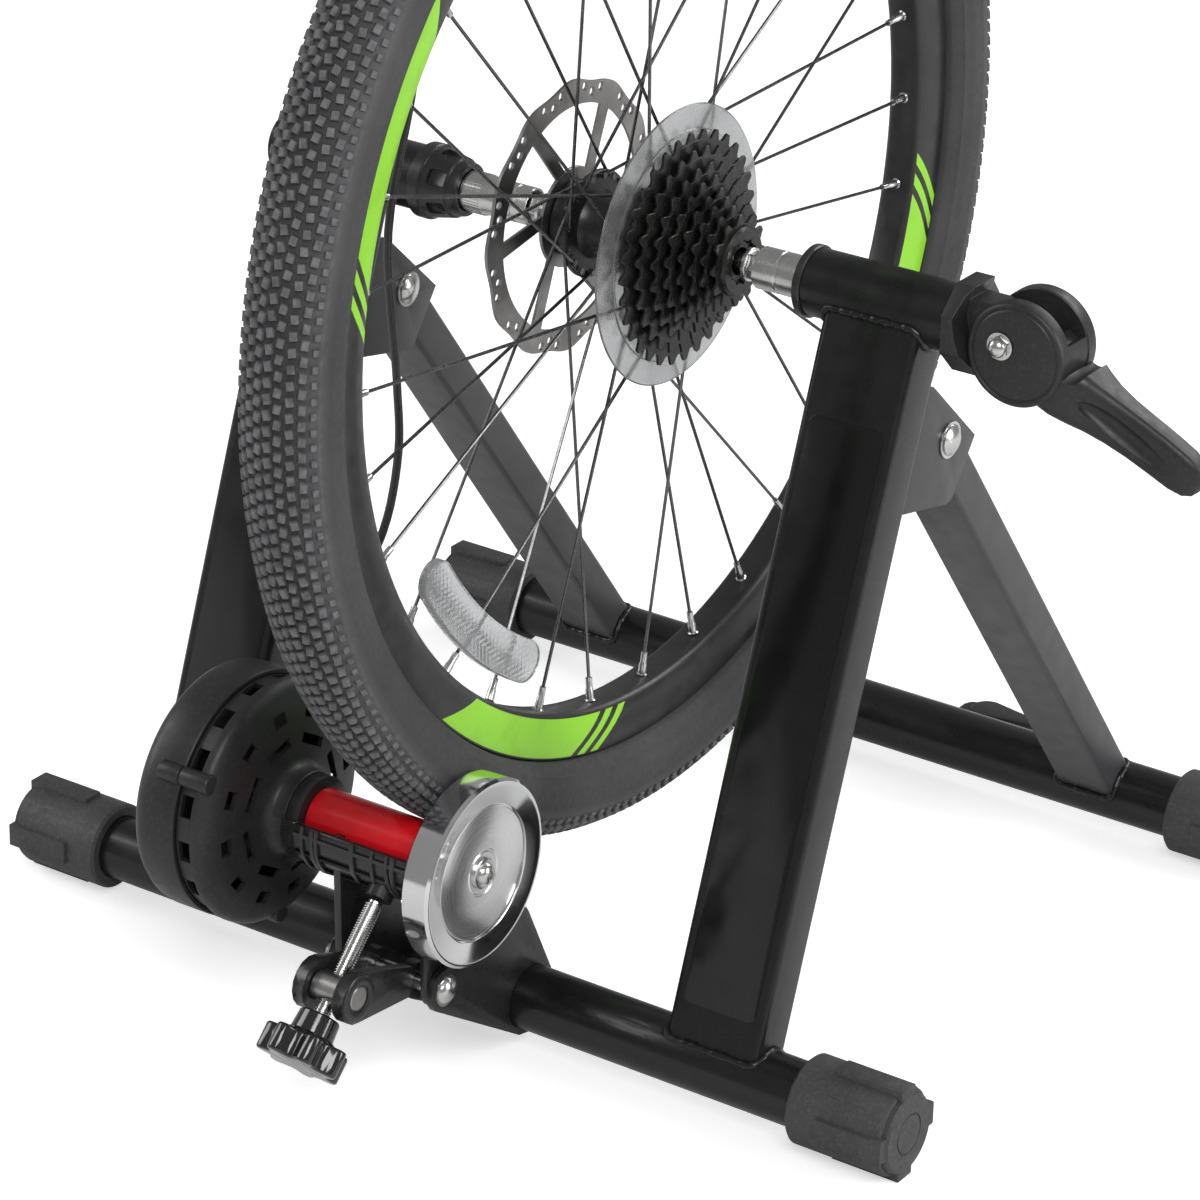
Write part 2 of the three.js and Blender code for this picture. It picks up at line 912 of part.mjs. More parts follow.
function adjustingScrew() {
  const face = -pin_reach;
  const back = left_clamp_start + gap + collar_length - collar_skirt + gap;
  return turned(
    [
      [face - pin_recess_depth, 0],
      [face - pin_recess_depth, pin_recess_radius],
      [face, pin_recess_radius],
      [face, pin_radius - clamp_wall / 2],
      [back + knurl_length, pin_radius - clamp_wall / 2],
      [back + knurl_length, pin_radius],
      [back, pin_radius],
      [back, screw_radius],
      [back - screw_length, screw_radius],
      [back - screw_length, 0],
    ],
    tube_sides,
  );
}

// Bracket pressed round the rear tube, with cheeks that rise to a crown and reach back to the pivot
function unitBracket() {
  const pivot = new THREE.Vector2(-unit_pivot_setback, unit_pivot_rise);
  const crown = new THREE.Vector2(-bracket_crown_setback, bracket_crown_rise);
  const seat_radius = tube_radius + gap;
  const shell_radius = seat_radius + bracket_plate;
  const around = new THREE.Vector2(0, 0);
  const shape = beltOutline(
    [pivot, bracket_ear_radius],
    [crown, bracket_crown_radius],
    [around, shell_radius],
  );
  const cheek = (from, to) =>
    cut(
      plateX(shape, from, to),
      rodX(unit_bolt_radius + gap, from - overrun, to + overrun).translate(0, pivot.x, pivot.y),
    );
  const shell = plateX(
    ringSector(
      tube_radius - overrun,
      shell_radius,
      radians(bracket_hug_angle),
      radians(bracket_hug_sweep),
    ),
    unit_middle - bracket_half,
    unit_middle + bracket_half,
  );
  return cut(
    join(
      shell,
      cheek(unit_middle + bracket_half - bracket_plate, unit_middle + bracket_half),
      cheek(unit_middle - bracket_half, unit_middle - bracket_half + bracket_plate),
    ),
    rodX(seat_radius, unit_middle - 2 * bracket_half, unit_middle + 2 * bracket_half, tube_sides),
  );
}

// Fork of two arms from the bracket past the pivot to the trunnion
function forkYoke() {
  const pivot = new THREE.Vector2(-unit_pivot_setback, unit_pivot_rise);
  const end = new THREE.Vector2(-trunnion_setback, trunnion_rise);
  const shell = tube_radius + bracket_plate + 2 * gap;
  const root = new THREE.Vector2(-shell - yoke_neck_radius, yoke_neck_radius);
  const arm = (from, to) =>
    join(
      plateX(beltOutline([pivot, yoke_neck_radius], [end, yoke_ear_radius]), from, to),
      plateX(beltOutline([root, yoke_neck_radius], [pivot, yoke_pivot_radius]), from, to),
    );
  const inner = yoke_gap_half;
  const outer = yoke_gap_half + yoke_plate;
  const bridge = rodX(yoke_neck_radius, -inner - overrun, inner + overrun).translate(0, root.x, root.y);
  return cut(
    join(
      arm(inner, outer),
      arm(-outer, -inner),
      bridge,
    ),
    rodX(unit_bolt_radius + gap, -2 * outer, 2 * outer).translate(0, pivot.x, pivot.y),
    rodX(trunnion_pin_radius + gap, -2 * outer, 2 * outer).translate(0, end.x, end.y),
  );
}

// Trunnion, in its own frame: X along the pin, Z along the threaded rod
function trunnionPin() {
  const inner = yoke_gap_half - gap;
  const outer = yoke_gap_half + yoke_plate;
  const pin = turned(
    [
      [-outer, 0],
      [-outer, trunnion_pin_radius],
      [-inner, trunnion_pin_radius],
      [-inner, trunnion_barrel_radius],
      [inner, trunnion_barrel_radius],
      [inner, trunnion_pin_radius],
      [outer, trunnion_pin_radius],
      [outer, 0],
    ],
    pin_sides,
  );
  return cut(pin, rodZ(rod_radius + gap, -2 * outer, 2 * outer));
}

function tensionRod() {
  const profile = [
    [-knob_distance - knob_grip_depth, 0],
    [-knob_distance - knob_grip_depth, rod_radius],
    [rod_top - rod_radius, rod_radius],
    [rod_top - rod_radius * (1 - Math.sin(radians(45))), rod_radius * Math.cos(radians(45))],
    [rod_top, 0],
  ];
  return turned(profile, pin_sides).rotateY(-Math.PI / 2);
}

function tensionKnob() {
  const shape = new THREE.Shape();
  const steps = knob_lobes * wave_steps;
  for (let i = 0; i < steps; i += 1) {
    const angle = (i * 2 * Math.PI) / steps;
    const wave = Math.abs(Math.sin((knob_lobes * angle) / 2));
    const radius = knob_radius * (1 - knob_lobe_depth_share * (1 - wave) ** 2 * 2);
    shape[i === 0 ? "moveTo" : "lineTo"](radius * Math.cos(angle), radius * Math.sin(angle));
  }
  const neck_bottom = -knob_distance - knob_neck_height;
  return cut(
    join(
      plateZ(shape, neck_bottom - knob_height, neck_bottom),
      rodZ(knob_neck_radius, neck_bottom - gap, -knob_distance, tube_sides),
    ),
    rodZ(rod_radius + gap, -knob_distance - knob_grip_depth - gap, overrun),
  );
}

// Cradle under the roller: half shell, two cheeks with legs, hoops and the pad that the rod pushes
function rollerCradle() {
  const left = roller_left - gap - cradle_wall;
  const right = roller_right + gap + cradle_wall;
  const start = radians(cradle_open_angle);
  const shell_shape = ringSector(
    cradle_radius - cradle_shell,
    cradle_radius,
    start,
    radians(cradle_sweep),
  );
  const shell = plateX(shell_shape, left, right);
  const hoops = [...Array(cradle_ribs).keys()].map((i) => {
    const at = roller_left + ((roller_right - roller_left) * (i + 0.5)) / cradle_ribs;
    return plateX(
      ringSector(
        cradle_radius - cradle_shell / 2,
        cradle_radius + cradle_rib,
        start,
        radians(cradle_sweep),
      ),
      at - cradle_rib_width / 2,
      at + cradle_rib_width / 2,
    );
  });
  const pivot = unit_pivot.clone().sub(roller_line);
  const centre = new THREE.Vector2(0, 0);
  const cheek = (from, to) => rodX(cradle_cheek_radius, from, to, tube_sides);
  const leg = (from, to) =>
    plateX(beltOutline([centre, cradle_leg_radius], [pivot, cradle_foot_radius]), from, to);
  const pad = rodZ(cradle_pad_radius, -cradle_radius - cradle_pad_height, -cradle_radius + cradle_shell)
    .rotateX(-rod_lean)
    .translate(unit_middle, 0, 0);
  const right_leg = unit_middle + bracket_half - bracket_plate - running_gap;
  const left_leg = unit_middle - bracket_half + bracket_plate + running_gap;
  return cut(
    join(
      shell,
      ...hoops,
      cheek(left, left + cradle_wall),
      cheek(right - cradle_wall, right),
      leg(right_leg - cradle_leg_plate, right_leg),
      leg(left_leg, left_leg + cradle_leg_plate),
      pad,
    ),
    rodX(roller_radius + running_gap, roller_left - gap, roller_right + gap, tube_sides),
    rodX(shaft_radius + gap, left - overrun, right + overrun),
    rodX(unit_bolt_radius + gap, left - overrun, right + overrun).translate(0, pivot.x, pivot.y),
  );
}

function flywheel() {
  const left = roller_right + cradle_wall + 2 * gap + overrun;
  const right = left + flywheel_width;
  const web = flywheel_radius * flywheel_rim_share;
  const chamfer = flywheel_step / 3;
  return turned(
    [
      [left, shaft_radius + gap],
      [left, flywheel_radius - chamfer],
      [left + chamfer, flywheel_radius],
      [right - chamfer, flywheel_radius],
      [right, flywheel_radius - chamfer],
      [right, web],
      [right - chamfer, web - chamfer],
      [right - chamfer, flywheel_boss_radius],
      [right - flywheel_step, flywheel_boss_radius],
      [right - flywheel_step, flywheel_bolt_radius + gap],
      [left + flywheel_hub_depth, flywheel_bolt_radius + gap],
      [left + flywheel_hub_depth, shaft_radius + gap],
      [left, shaft_radius + gap],
    ],
    drum_sides,
  );
}

function flywheelBolt() {
  const left = roller_right + cradle_wall + 2 * gap + overrun;
  const seat = left + flywheel_width - flywheel_step + gap;
  return turned(
    [
      [left + flywheel_hub_depth, 0],
      [left + flywheel_hub_depth, flywheel_bolt_radius],
      [seat, flywheel_bolt_radius],
      [seat, washer_radius],
      [seat + washer_height, washer_radius],
      [seat + washer_height, dome_radius],
      [seat + washer_height + dome_height * Math.sin(radians(45)), dome_radius * Math.cos(radians(45))],
      [seat + washer_height + dome_height, 0],
    ],
    pin_sides,
  );
}

function rollerShaft() {
  const right = roller_right + cradle_wall + 2 * gap + overrun + flywheel_hub_depth - gap;
  return rodX(shaft_radius, drum_left + fan_wall + gap, right);
}

// Lugs where the two halves of the fan housing are screwed together
function fanLugs(from, to) {
  return [...Array(fan_lugs).keys()].map((i) =>
    rodX(fan_lug_radius, from, to, pin_sides)
      .translate(0, fan_radius, 0)
      .rotateX(radians(fan_lug_angle + (i * 360) / fan_lugs)),
  );
}

function fanShellOuter() {
  const inside = fan_radius - fan_wall;
  const round = (share) => [
    drum_left + fan_round * (1 - Math.sin(radians(90 * share))),
    fan_radius - fan_round * (1 - Math.cos(radians(90 * share))),
  ];
  const boss_end = drum_left + fan_wall + drum_boss_length;
  const cup = turned(
    [
      [drum_left, 0],
      round(1),
      round(1 / 2),
      round(0),
      [drum_right, fan_radius],
      [drum_right, inside],
      [drum_left + fan_round, inside],
      [drum_left + fan_wall, inside + fan_wall - fan_round],
      [drum_left + fan_wall, drum_boss_radius],
      [boss_end, drum_boss_radius],
      [boss_end, shaft_radius + gap],
      [drum_left + fan_wall, shaft_radius + gap],
      [drum_left + fan_wall, 0],
    ],
    drum_sides,
  );
  return cut(
    join(cup, ...fanLugs(drum_right - fan_lug_length, drum_right)),
    rodX(inside, drum_left + fan_round, drum_right + overrun, drum_sides),
  );
}

function fanShellInner() {
  const ring_inside = slot_ring_radius - fan_wall;
  const neck_end = roller_left - cradle_wall - 2 * gap;
  const bell = turned(
    [
      [drum_right + gap, ring_inside],
      [drum_right + gap, slot_ring_radius],
      [bell_left, slot_ring_radius],
      [bell_left, fan_radius],
      [bell_shoulder, fan_radius - fan_wall / 2],
      [bell_neck, bell_neck_radius],
      [neck_end, neck_radius],
      [neck_end, shaft_radius + gap],
      [bell_neck, shaft_radius + gap],
      [bell_neck - fan_wall, bell_neck_radius - fan_wall],
      [bell_shoulder - fan_wall, ring_inside],
      [drum_right + gap, ring_inside],
    ],
    drum_sides,
  );
  const slots = [...Array(slot_count).keys()].map((i) => {
    const width = (2 * Math.PI * slot_ring_radius * slot_share) / slot_count;
    return box(bell_left - drum_right - 2 * overrun, width, 3 * fan_wall)
      .translate((bell_left + drum_right) / 2, 0, slot_ring_radius)
      .rotateX(((i + 1 / 4) * 2 * Math.PI) / slot_count);
  });
  const ringOfVents = (count, radius, size, width) =>
    [...Array(count).keys()].map((i) =>
      box(3 * (bell_neck - bell_shoulder), size, width)
        .translate(bell_shoulder, 0, radius)
        .rotateX(((i + 0.5) * 2 * Math.PI) / count),
    );
  return cut(
    join(bell, ...fanLugs(bell_left, bell_left + fan_lug_length / 2)),
    ...slots,
    ...ringOfVents(vent_outer_count, vent_outer_radius, vent_outer_size, vent_outer_width),
    ...ringOfVents(vent_inner_count, vent_inner_radius, vent_inner_size, vent_inner_width),
  );
}

// Metal disc that turns with the roller past the magnets
function rotorDisc() {
  const left = drum_left + fan_wall + drum_boss_length + overrun;
  return turned(
    [
      [left, shaft_radius + gap],
      [left, rotor_radius],
      [left + rotor_thickness, rotor_radius],
      [left + rotor_thickness, rotor_hub_radius],
      [left + 3 * rotor_thickness, rotor_hub_radius],
      [left + 3 * rotor_thickness, shaft_radius + gap],
      [left, shaft_radius + gap],
    ],
    drum_sides,
  );
}

// Plate of magnets that the cable turns round the drum's boss
function magnetCarrier() {
  const left = drum_left + fan_wall + gap;
  const right = left + carrier_thickness;
  const magnets = [...Array(magnet_count).keys()].map((i) =>
    rodX(magnet_radius, left, right + magnet_height, magnet_sides)
      .translate(0, carrier_radius * magnet_ring_share, 0)
      .rotateX((i * 2 * Math.PI) / magnet_count),
  );
  return join(ringX(drum_boss_radius + gap, carrier_radius, left, right, drum_sides), ...magnets);
}

// Tyre: beads inside the rim's hooks, side walls over them and a thicker tread
function tyre() {
  const centre = wheel_radius - tyre_section_radius;
  const arc = (radius, crown, seat, steps) => {
    const start = Math.acos((centre - seat) / radius);
    return [...Array(steps + 1).keys()].map((i) => {
      const angle = start + ((2 * Math.PI - 2 * start) * i) / steps;
      const rise = Math.cos(angle) > 0 ? radius : crown;
      return [radius * Math.sin(angle), centre - rise * Math.cos(angle)];
    });
  };
  const seat = rim_outer_radius + gap;
  const inner_half = tyre_bead_half - tyre_side_wall;
  const outside = arc(tyre_section_radius, tyre_section_radius, seat, tyre_outside_steps);
  const inside = arc(
    tyre_section_radius - tyre_side_wall,
    tyre_section_radius - tyre_tread,
    seat + tyre_side_wall,
    tyre_inside_steps,
  );
  const profile = [
    [tyre_bead_half, tyre_bead_radius],
    [tyre_bead_half, seat],
    ...outside,
    [-tyre_bead_half, seat],
    [-tyre_bead_half, tyre_bead_radius],
    [-inner_half, tyre_bead_radius],
    [-inner_half, seat + tyre_side_wall],
    ...inside.reverse(),
    [inner_half, seat + tyre_side_wall],
    [inner_half, tyre_bead_radius],
    [tyre_bead_half, tyre_bead_radius],
  ];
  return turned(profile, tyre_sides);
}

// Rim: a well for the beads, sloping walls and rounded lips, the same on both sides
function rim() {
  const seat = rim_inner_radius + rim_bed;
  const hook = rim_half_width - rim_wall;
  const right_half = [
    [rim_well_half, seat],
    [tyre_bead_half + rim_knee_play, seat + rim_knee_rise],
    [hook, rim_outer_radius - rim_hook_fall],
    [hook + rim_wall / 2, rim_outer_radius],
    [rim_half_width, rim_outer_radius - rim_lip_fall],
    [rim_half_width, (rim_inner_radius + rim_outer_radius) / 2 - rim_bed],
    [rim_bed_half, rim_inner_radius],
  ];
  const left_half = right_half.map(([x, radius]) => [-x, radius]).reverse();
  const section = [...left_half, ...right_half, left_half[0]];
  const valve_hole = rodZ(valve_radius + gap, rim_inner_radius - overrun * 2, seat + overrun)
    .rotateZ(Math.PI / pin_sides)
    .rotateX(radians(valve_angle) - Math.PI / 2);
  return cut(turned(section, tyre_sides), valve_hole);
}

// Inner tube, hollow through its valve
function innerTube() {
  const centre = wheel_radius - tyre_section_radius;
  const ring = (section) => {
    const profile = [];
    for (let i = 0; i <= tube_section_sides; i += 1) {
      const angle = (i * 2 * Math.PI) / tube_section_sides;
      profile.push([section * Math.sin(angle), centre + section * Math.cos(angle)]);
    }
    return turned(profile, tube_ring_sides);
  };
  const valve_turn = radians(valve_angle) - Math.PI / 2;
  const stem = rodZ(
    valve_radius,
    rim_inner_radius - valve_length + 2 * rim_bed,
    centre - tube_section_radius / 2,
  ).rotateX(valve_turn);
  const bore = rodZ(valve_bore, rim_inner_radius - valve_length, centre).rotateX(valve_turn);
  return cut(join(ring(tube_section_radius), stem), ring(tube_section_radius - tube_skin), bore);
}

function hubShell() {
  const bore = axle_radius + gap;
  return turned(
    [
      [rotor_seat, bore],
      [rotor_seat, rotor_seat_radius],
      [left_flange - 2 * flange_thickness, rotor_seat_radius],
      [left_flange - 2 * flange_thickness, hub_barrel_radius],
      [freehub_seat - flange_thickness / 2, hub_barrel_radius],
      [freehub_seat, freehub_seat_radius],
      [freehub_seat, bore],
      [rotor_seat, bore],
    ],
    tube_sides,
  );
}

function axle() {
  const half = hub_width / 2;
  const end = half + axle_nut_length;
  const side = (sign) => [
    [sign * end, 0],
    [sign * end, axle_nut_radius],
    [sign * half, axle_nut_radius],
    [sign * half, axle_radius],
  ];
  const left_cone = [
    [-half + gap, axle_radius],
    [-half + gap, cone_radius],
    [-half + cone_length, cone_radius],
    [-half + cone_length, axle_radius],
  ];
  return turned([...side(-1).slice(0, 3), ...left_cone.slice(1), ...side(1).reverse()], tube_sides);
}

// Where a spoke of one flange meets the rim, counted round the wheel from the horizontal
function nippleAngle(index) {
  return radians(first_nipple_angle) + (index * 2 * Math.PI) / spoke_count;
}

// One flange of the hub with its spokes, hooked in turn into its left and right faces
function spokes(flange_x, first_index) {
  const lean = (spoke_crosses * 4 * Math.PI) / spoke_count;
  const outer = (rim_inner_radius - gap) * Math.cos(Math.PI / tyre_sides) - gap;
  const at = (x, radius, angle) =>
    new THREE.Vector3(x, radius * Math.cos(angle), radius * Math.sin(angle));
  const spoke = (from, to) => {
    const along = to.clone().sub(from);
    const length = along.length();
    const turn = new THREE.Quaternion().setFromUnitVectors(
      new THREE.Vector3(1, 0, 0),
      along.normalize(),
    );
    return turned(
      [
        [0, 0],
        [0, spoke_radius],
        [length - nipple_length, spoke_radius],
        [length - nipple_length, nipple_radius],
        [length, nipple_radius],
        [length, 0],
      ],
      spoke_sides,
    )
      .applyQuaternion(turn)
      .translate(from.x, from.y, from.z);
  };
  const flange = ringX(
    hub_barrel_radius + gap,
    flange_radius,
    flange_x - flange_thickness / 2,
    flange_x + flange_thickness / 2,
  );
  const bars = [...Array(spoke_count / 2).keys()].map((i) => {
    const side = i % 2 === 0 ? 1 : -1;
    const face = flange_x + (side * flange_thickness) / 2;
    const rim_angle = nippleAngle(first_index + 2 * i);
    return spoke(at(face, spoke_circle_radius, rim_angle + side * lean), at(0, outer, rim_angle));
  });
  return join(flange, ...bars);
}

// Wavy brake disc: a scalloped band, leaning arms and a bored spider
function brakeDisc() {
  const left = rotor_seat - gap - brake_disc_thickness;
  const right = rotor_seat - gap;
  const shape = new THREE.Shape();
  const steps = brake_disc_waves * wave_steps;
  for (let i = 0; i < steps; i += 1) {
    const angle = (i * 2 * Math.PI) / steps;
    const radius = brake_disc_radius - brake_disc_wave * (1 - Math.cos(brake_disc_waves * angle)) / 2;
    shape[i === 0 ? "moveTo" : "lineTo"](radius * Math.cos(angle), radius * Math.sin(angle));
  }
  shape.holes.push(circle(0, 0, brake_disc_radius - brake_disc_band));
  const band = plateX(shape, left, right, tube_sides / 2);
  const spider = rodX(brake_disc_hub_radius, left, right, tube_sides);
  const reach = brake_disc_radius - brake_disc_band / 2 - brake_disc_hub_radius / 2;
  const arms = [...Array(brake_disc_arms).keys()].map((i) =>
    box(brake_disc_thickness, reach, brake_disc_arm_width)
      .translate((left + right) / 2, reach / 2, 0)
      .rotateX(radians(brake_disc_lean))
      .translate(0, brake_disc_hub_radius / 2, 0)
      .rotateX((i * 2 * Math.PI) / brake_disc_arms),
  );
  return cut(join(band, spider, ...arms), rodX(cone_radius + running_gap, 2 * rotor_seat, 0));
}

// Clear dished guard between the spokes and the largest sprocket, seated on the freehub
function spokeGuard() {
  const left = first_sprocket - gap - guard_thickness;
  const hole = freehub_radius + gap;
  return turned(
    [
      [left, hole],
      [left - guard_dish, guard_radius],
      [left - guard_dish + guard_thickness, guard_radius],
      [left + guard_thickness, hole],
      [left, hole],
    ],
    drum_sides,
  );
}

function reflector() {
  const middle = (reflector_inner_radius + reflector_outer_radius) / 2;
  const end = (reflector_outer_radius - reflector_inner_radius) / 2;
  const half = radians(reflector_span / 2);
  const centre = radians(reflector_angle);
  const shape = new THREE.Shape();
  const tip = (angle) => [middle * Math.cos(angle), middle * Math.sin(angle)];
  shape.absarc(0, 0, reflector_outer_radius, centre - half, centre + half);
  shape.absarc(...tip(centre + half), end, centre + half, centre + half + Math.PI);
  shape.absarc(0, 0, reflector_inner_radius, centre + half, centre - half, true);
  shape.absarc(...tip(centre - half), end, centre - half + Math.PI, centre - half + 2 * Math.PI);
  return plateX(shape, reflector_place, reflector_place + reflector_thickness);
}

// Freehub body with its lockring, which carries the sprockets
function freehubBody() {
  const left = freehub_seat + gap;
  const bore = axle_radius + gap;
  return turned(
    [
      [left, bore],
      [left, freehub_radius],
      [freehub_end, freehub_radius],
      [freehub_end, lockring_radius - freehub_spline],
      [freehub_end + gap, lockring_radius],
      [freehub_end + freehub_spline, lockring_radius],
      [freehub_end + freehub_spline, bore],
      [left, bore],
    ],
    tube_sides,
  );
}

function sprocket(teeth, place) {
  const pitch_radius = chain_pitch / (2 * Math.sin(Math.PI / teeth));
  const root = pitch_radius - tooth_root;
  const tip = pitch_radius + tooth_height;
  const step = (2 * Math.PI) / teeth;
  const corners = [];
  for (let tooth = 0; tooth < teeth; tooth += 1) {
    corners.push([root, tooth * step]);
    corners.push([tip, (tooth + tooth_flank_share) * step]);
    corners.push([tip, (tooth + 1 - tooth_flank_share) * step]);
  }
  const shape = new THREE.Shape(
    corners.map(
      ([radius, angle]) => new THREE.Vector2(radius * Math.cos(angle), radius * Math.sin(angle)),
    ),
  );
  shape.holes.push(circle(0, 0, freehub_radius + gap));
  return plateX(shape, place, place + sprocket_thickness, tube_sides / 2);
}

// Threaded gland on the fan housing's rim, where the cable goes in
function cableGland() {
  const base = fan_radius + gap;
  return rodZ(gland_radius, base, base + gland_length, gland_flats)
    .rotateX(radians(gland_angle) - Math.PI / 2)
    .translate((drum_left + drum_right) / 2, 0, 0);
}

function remoteCable() {
  const path = new THREE.CatmullRomCurve3(cable_points.map((p) => new THREE.Vector3(...p)));
  const section = new THREE.Shape();
  for (let i = 0; i < cable_sides; i += 1) {
    const angle = ((i + 0.5) * 2 * Math.PI) / cable_sides;
    const place = [cable_radius * Math.cos(angle), cable_radius * Math.sin(angle)];
    section[i === 0 ? "moveTo" : "lineTo"](...place);
  }
  return new THREE.ExtrudeGeometry(section, { steps: cable_steps, extrudePath: path });
}

function remoteBody() {
  return cut(
    plateZ(roundedRectangle(remote_length, remote_width, remote_corner), 0, remote_height, 1),
    rodZ(remote_pin_radius + gap, remote_height / 2, remote_height + overrun),
  );
}

function remoteThumbLever() {
  const far = new THREE.Vector2(remote_arm_length, 0);
  const base = remote_height + gap;
  return join(
    plateZ(
      beltOutline([new THREE.Vector2(0, 0), remote_dial_radius], [far, remote_arm_width / 2]),
      base,
      base + remote_dial_height,
    ),
    rodZ(remote_pin_radius, remote_height / 2 + gap, base + remote_dial_height / 2),
  );
}

// Assembly
const axes = [];
baseTube(rear_tube, "rear", axes);
baseTube(front_tube, "front", axes);
frameSide("right", right_side, 0);
frameSide("left", left_side, 0);

for (const [name, x] of [["right_strut", right_side], ["left_strut", left_side]]) {
  piece(name, strut(), black_paint, group(x, pivot_line.x, pivot_line.y, strut_tilt));
}

const clamps = group(0, 0, axle_height);
piece("right_clamp_tube", bushedTube(), black_paint, clamps);
piece("left_clamp_tube", clampTube(left_clamp_end, left_clamp_start), black_paint, clamps);
piece("push_pin", pushPin(), zinc, clamps);
piece("cam_housing", camHousing(), black_plastic, clamps);
piece("cam_bolt", camBolt(), zinc, clamps, cam_pivot);
piece("lock_collar", lockCollar(), black_plastic, clamps);
piece("adjusting_screw", adjustingScrew(), zinc, clamps);
const cam_lever = piece("cam_lever", camLever(), black_plastic, clamps, cam_pivot);
cam_lever.rotation.y = -radians(lever_angle);

const bracket = group(0, rear_tube.x, rear_tube.y);
piece("unit_bracket", unitBracket(), black_paint, bracket);
piece("fork_yoke", forkYoke(), black_plastic, bracket, unit_middle);
const unit_axis = group(unit_middle, unit_pivot.x, unit_pivot.y);
piece("unit_pivot_bolt", domedBolt(bracket_half, unit_bolt_radius), zinc, unit_axis);

const screw = group(unit_middle, trunnion.x, trunnion.y, -rod_lean);
piece("trunnion_pin", trunnionPin(), zinc, screw);
piece("tension_rod", tensionRod(), zinc, screw);
piece("tension_knob", tensionKnob(), knob_plastic, screw);

const unit = group(0, roller_line.x, roller_line.y);
piece("roller_cradle", rollerCradle(), black_plastic, unit);
const sleeve = ringX(shaft_radius + gap, roller_radius, roller_left, roller_right, drum_sides);
piece("roller", sleeve, red_plastic, unit);
piece("roller_shaft", rollerShaft(), bare_steel, unit);
piece("flywheel", flywheel(), chrome, unit);
piece("flywheel_bolt", flywheelBolt(), zinc, unit);
piece("fan_shell_outer", fanShellOuter(), black_plastic, unit);
piece("fan_shell_inner", fanShellInner(), black_plastic, unit);
piece("rotor_disc", rotorDisc(), bare_steel, unit);
piece("magnet_carrier", magnetCarrier(), bare_steel, unit);

const wheel = group(0, 0, axle_height);
piece("tyre", tyre(), tyre_rubber, wheel);
piece("inner_tube", innerTube(), foot_rubber, wheel);
piece("rim", rim(), black_alloy, wheel);
piece("spokes_right", spokes(right_flange, 0), black_alloy, wheel);
piece("spokes_left", spokes(left_flange, 1), black_alloy, wheel);
piece("hub_shell", hubShell(), black_alloy, wheel);
piece("axle", axle(), zinc, wheel);
piece("brake_disc", brakeDisc(), bare_steel, wheel);
piece("spoke_guard", spokeGuard(), clear_plastic, wheel);
piece("reflector", reflector(), clear_plastic, wheel);
piece("freehub_body", freehubBody(), bare_steel, wheel);
sprocket_teeth.forEach((teeth, i) => {
  piece("sprocket_" + teeth, sprocket(teeth, first_sprocket + i * sprocket_pitch), sprocket_steel, wheel);
});

const cable_end = cable_points[cable_points.length - 1];
piece("cable_gland", cableGland(), black_plastic, unit);
piece("remote_cable", remoteCable(), black_plastic, group(0, 0, 0));
const remote = group(cable_end[0] + gap + remote_length / 2, cable_end[1], 0);
piece("remote_body", remoteBody(), black_plastic, remote);
piece("remote_thumb_lever", remoteThumbLever(), black_plastic, remote);

// The origin: on the floor, under the middle of the object without its loose cable
const cord_names = ["remote_cable", "remote_body", "remote_thumb_lever"];
part.updateMatrixWorld(true);
const bounds = new THREE.Box3();
part.traverse((object) => {
  if (object.isMesh && !cord_names.includes(object.name)) {
    bounds.expandByObject(object, true);
  }
});
const middle = bounds.getCenter(new THREE.Vector3());
part.children.forEach((child) => {
  child.position.x -= middle.x;
  child.position.y -= middle.y;
  child.position.z -= bounds.min.z;
});

export default part;
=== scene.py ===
"""Bicycle rear wheel clamped in a folding turbo trainer: the pieces that dress its CAD frame."""

import math

import bpy
from mathutils import Matrix, Vector


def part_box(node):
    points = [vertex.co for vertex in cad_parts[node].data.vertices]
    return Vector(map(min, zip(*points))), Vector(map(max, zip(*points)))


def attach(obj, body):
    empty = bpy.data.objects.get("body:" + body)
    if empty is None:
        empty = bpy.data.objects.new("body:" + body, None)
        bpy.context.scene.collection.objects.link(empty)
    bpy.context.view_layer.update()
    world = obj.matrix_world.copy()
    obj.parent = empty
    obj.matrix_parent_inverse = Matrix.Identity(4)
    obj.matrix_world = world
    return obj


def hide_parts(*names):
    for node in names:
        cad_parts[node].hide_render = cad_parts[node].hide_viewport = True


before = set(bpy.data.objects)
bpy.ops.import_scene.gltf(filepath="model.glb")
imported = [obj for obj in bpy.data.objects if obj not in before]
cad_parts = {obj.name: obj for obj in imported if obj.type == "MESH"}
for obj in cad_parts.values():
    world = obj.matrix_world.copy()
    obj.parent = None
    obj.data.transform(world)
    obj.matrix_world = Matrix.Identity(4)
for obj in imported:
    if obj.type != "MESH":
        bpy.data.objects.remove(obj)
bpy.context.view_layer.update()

bl_info = {
    "name": "Wheel on turbo trainer",
    "version": (1, 0, 0),
    "blender": (4, 5, 0),
    "location": "3D View > Sidebar > Trainer",
    "description": "Models the wheel, the folding stand and the roller unit round their CAD frame",
    "category": "Object",
}

# Local sizes below are in millimetres; a place brings them to the frame's metres.
MM = 0.001
TURN = 2 * math.pi


def middle(node):
    low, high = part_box(node)
    return (low + high) / 2


def placed(origin, turn=0.0):
    """From millimetres round a local origin to the frame, turned about the X axis."""
    return Matrix.Translation(origin) @ Matrix.Rotation(turn, 4, "X") @ Matrix.Scale(MM, 4)


def lean(start, end):
    """Turn about X that brings straight down onto the line from start to end."""
    return math.atan2(end.y - start.y, start.z - end.z)


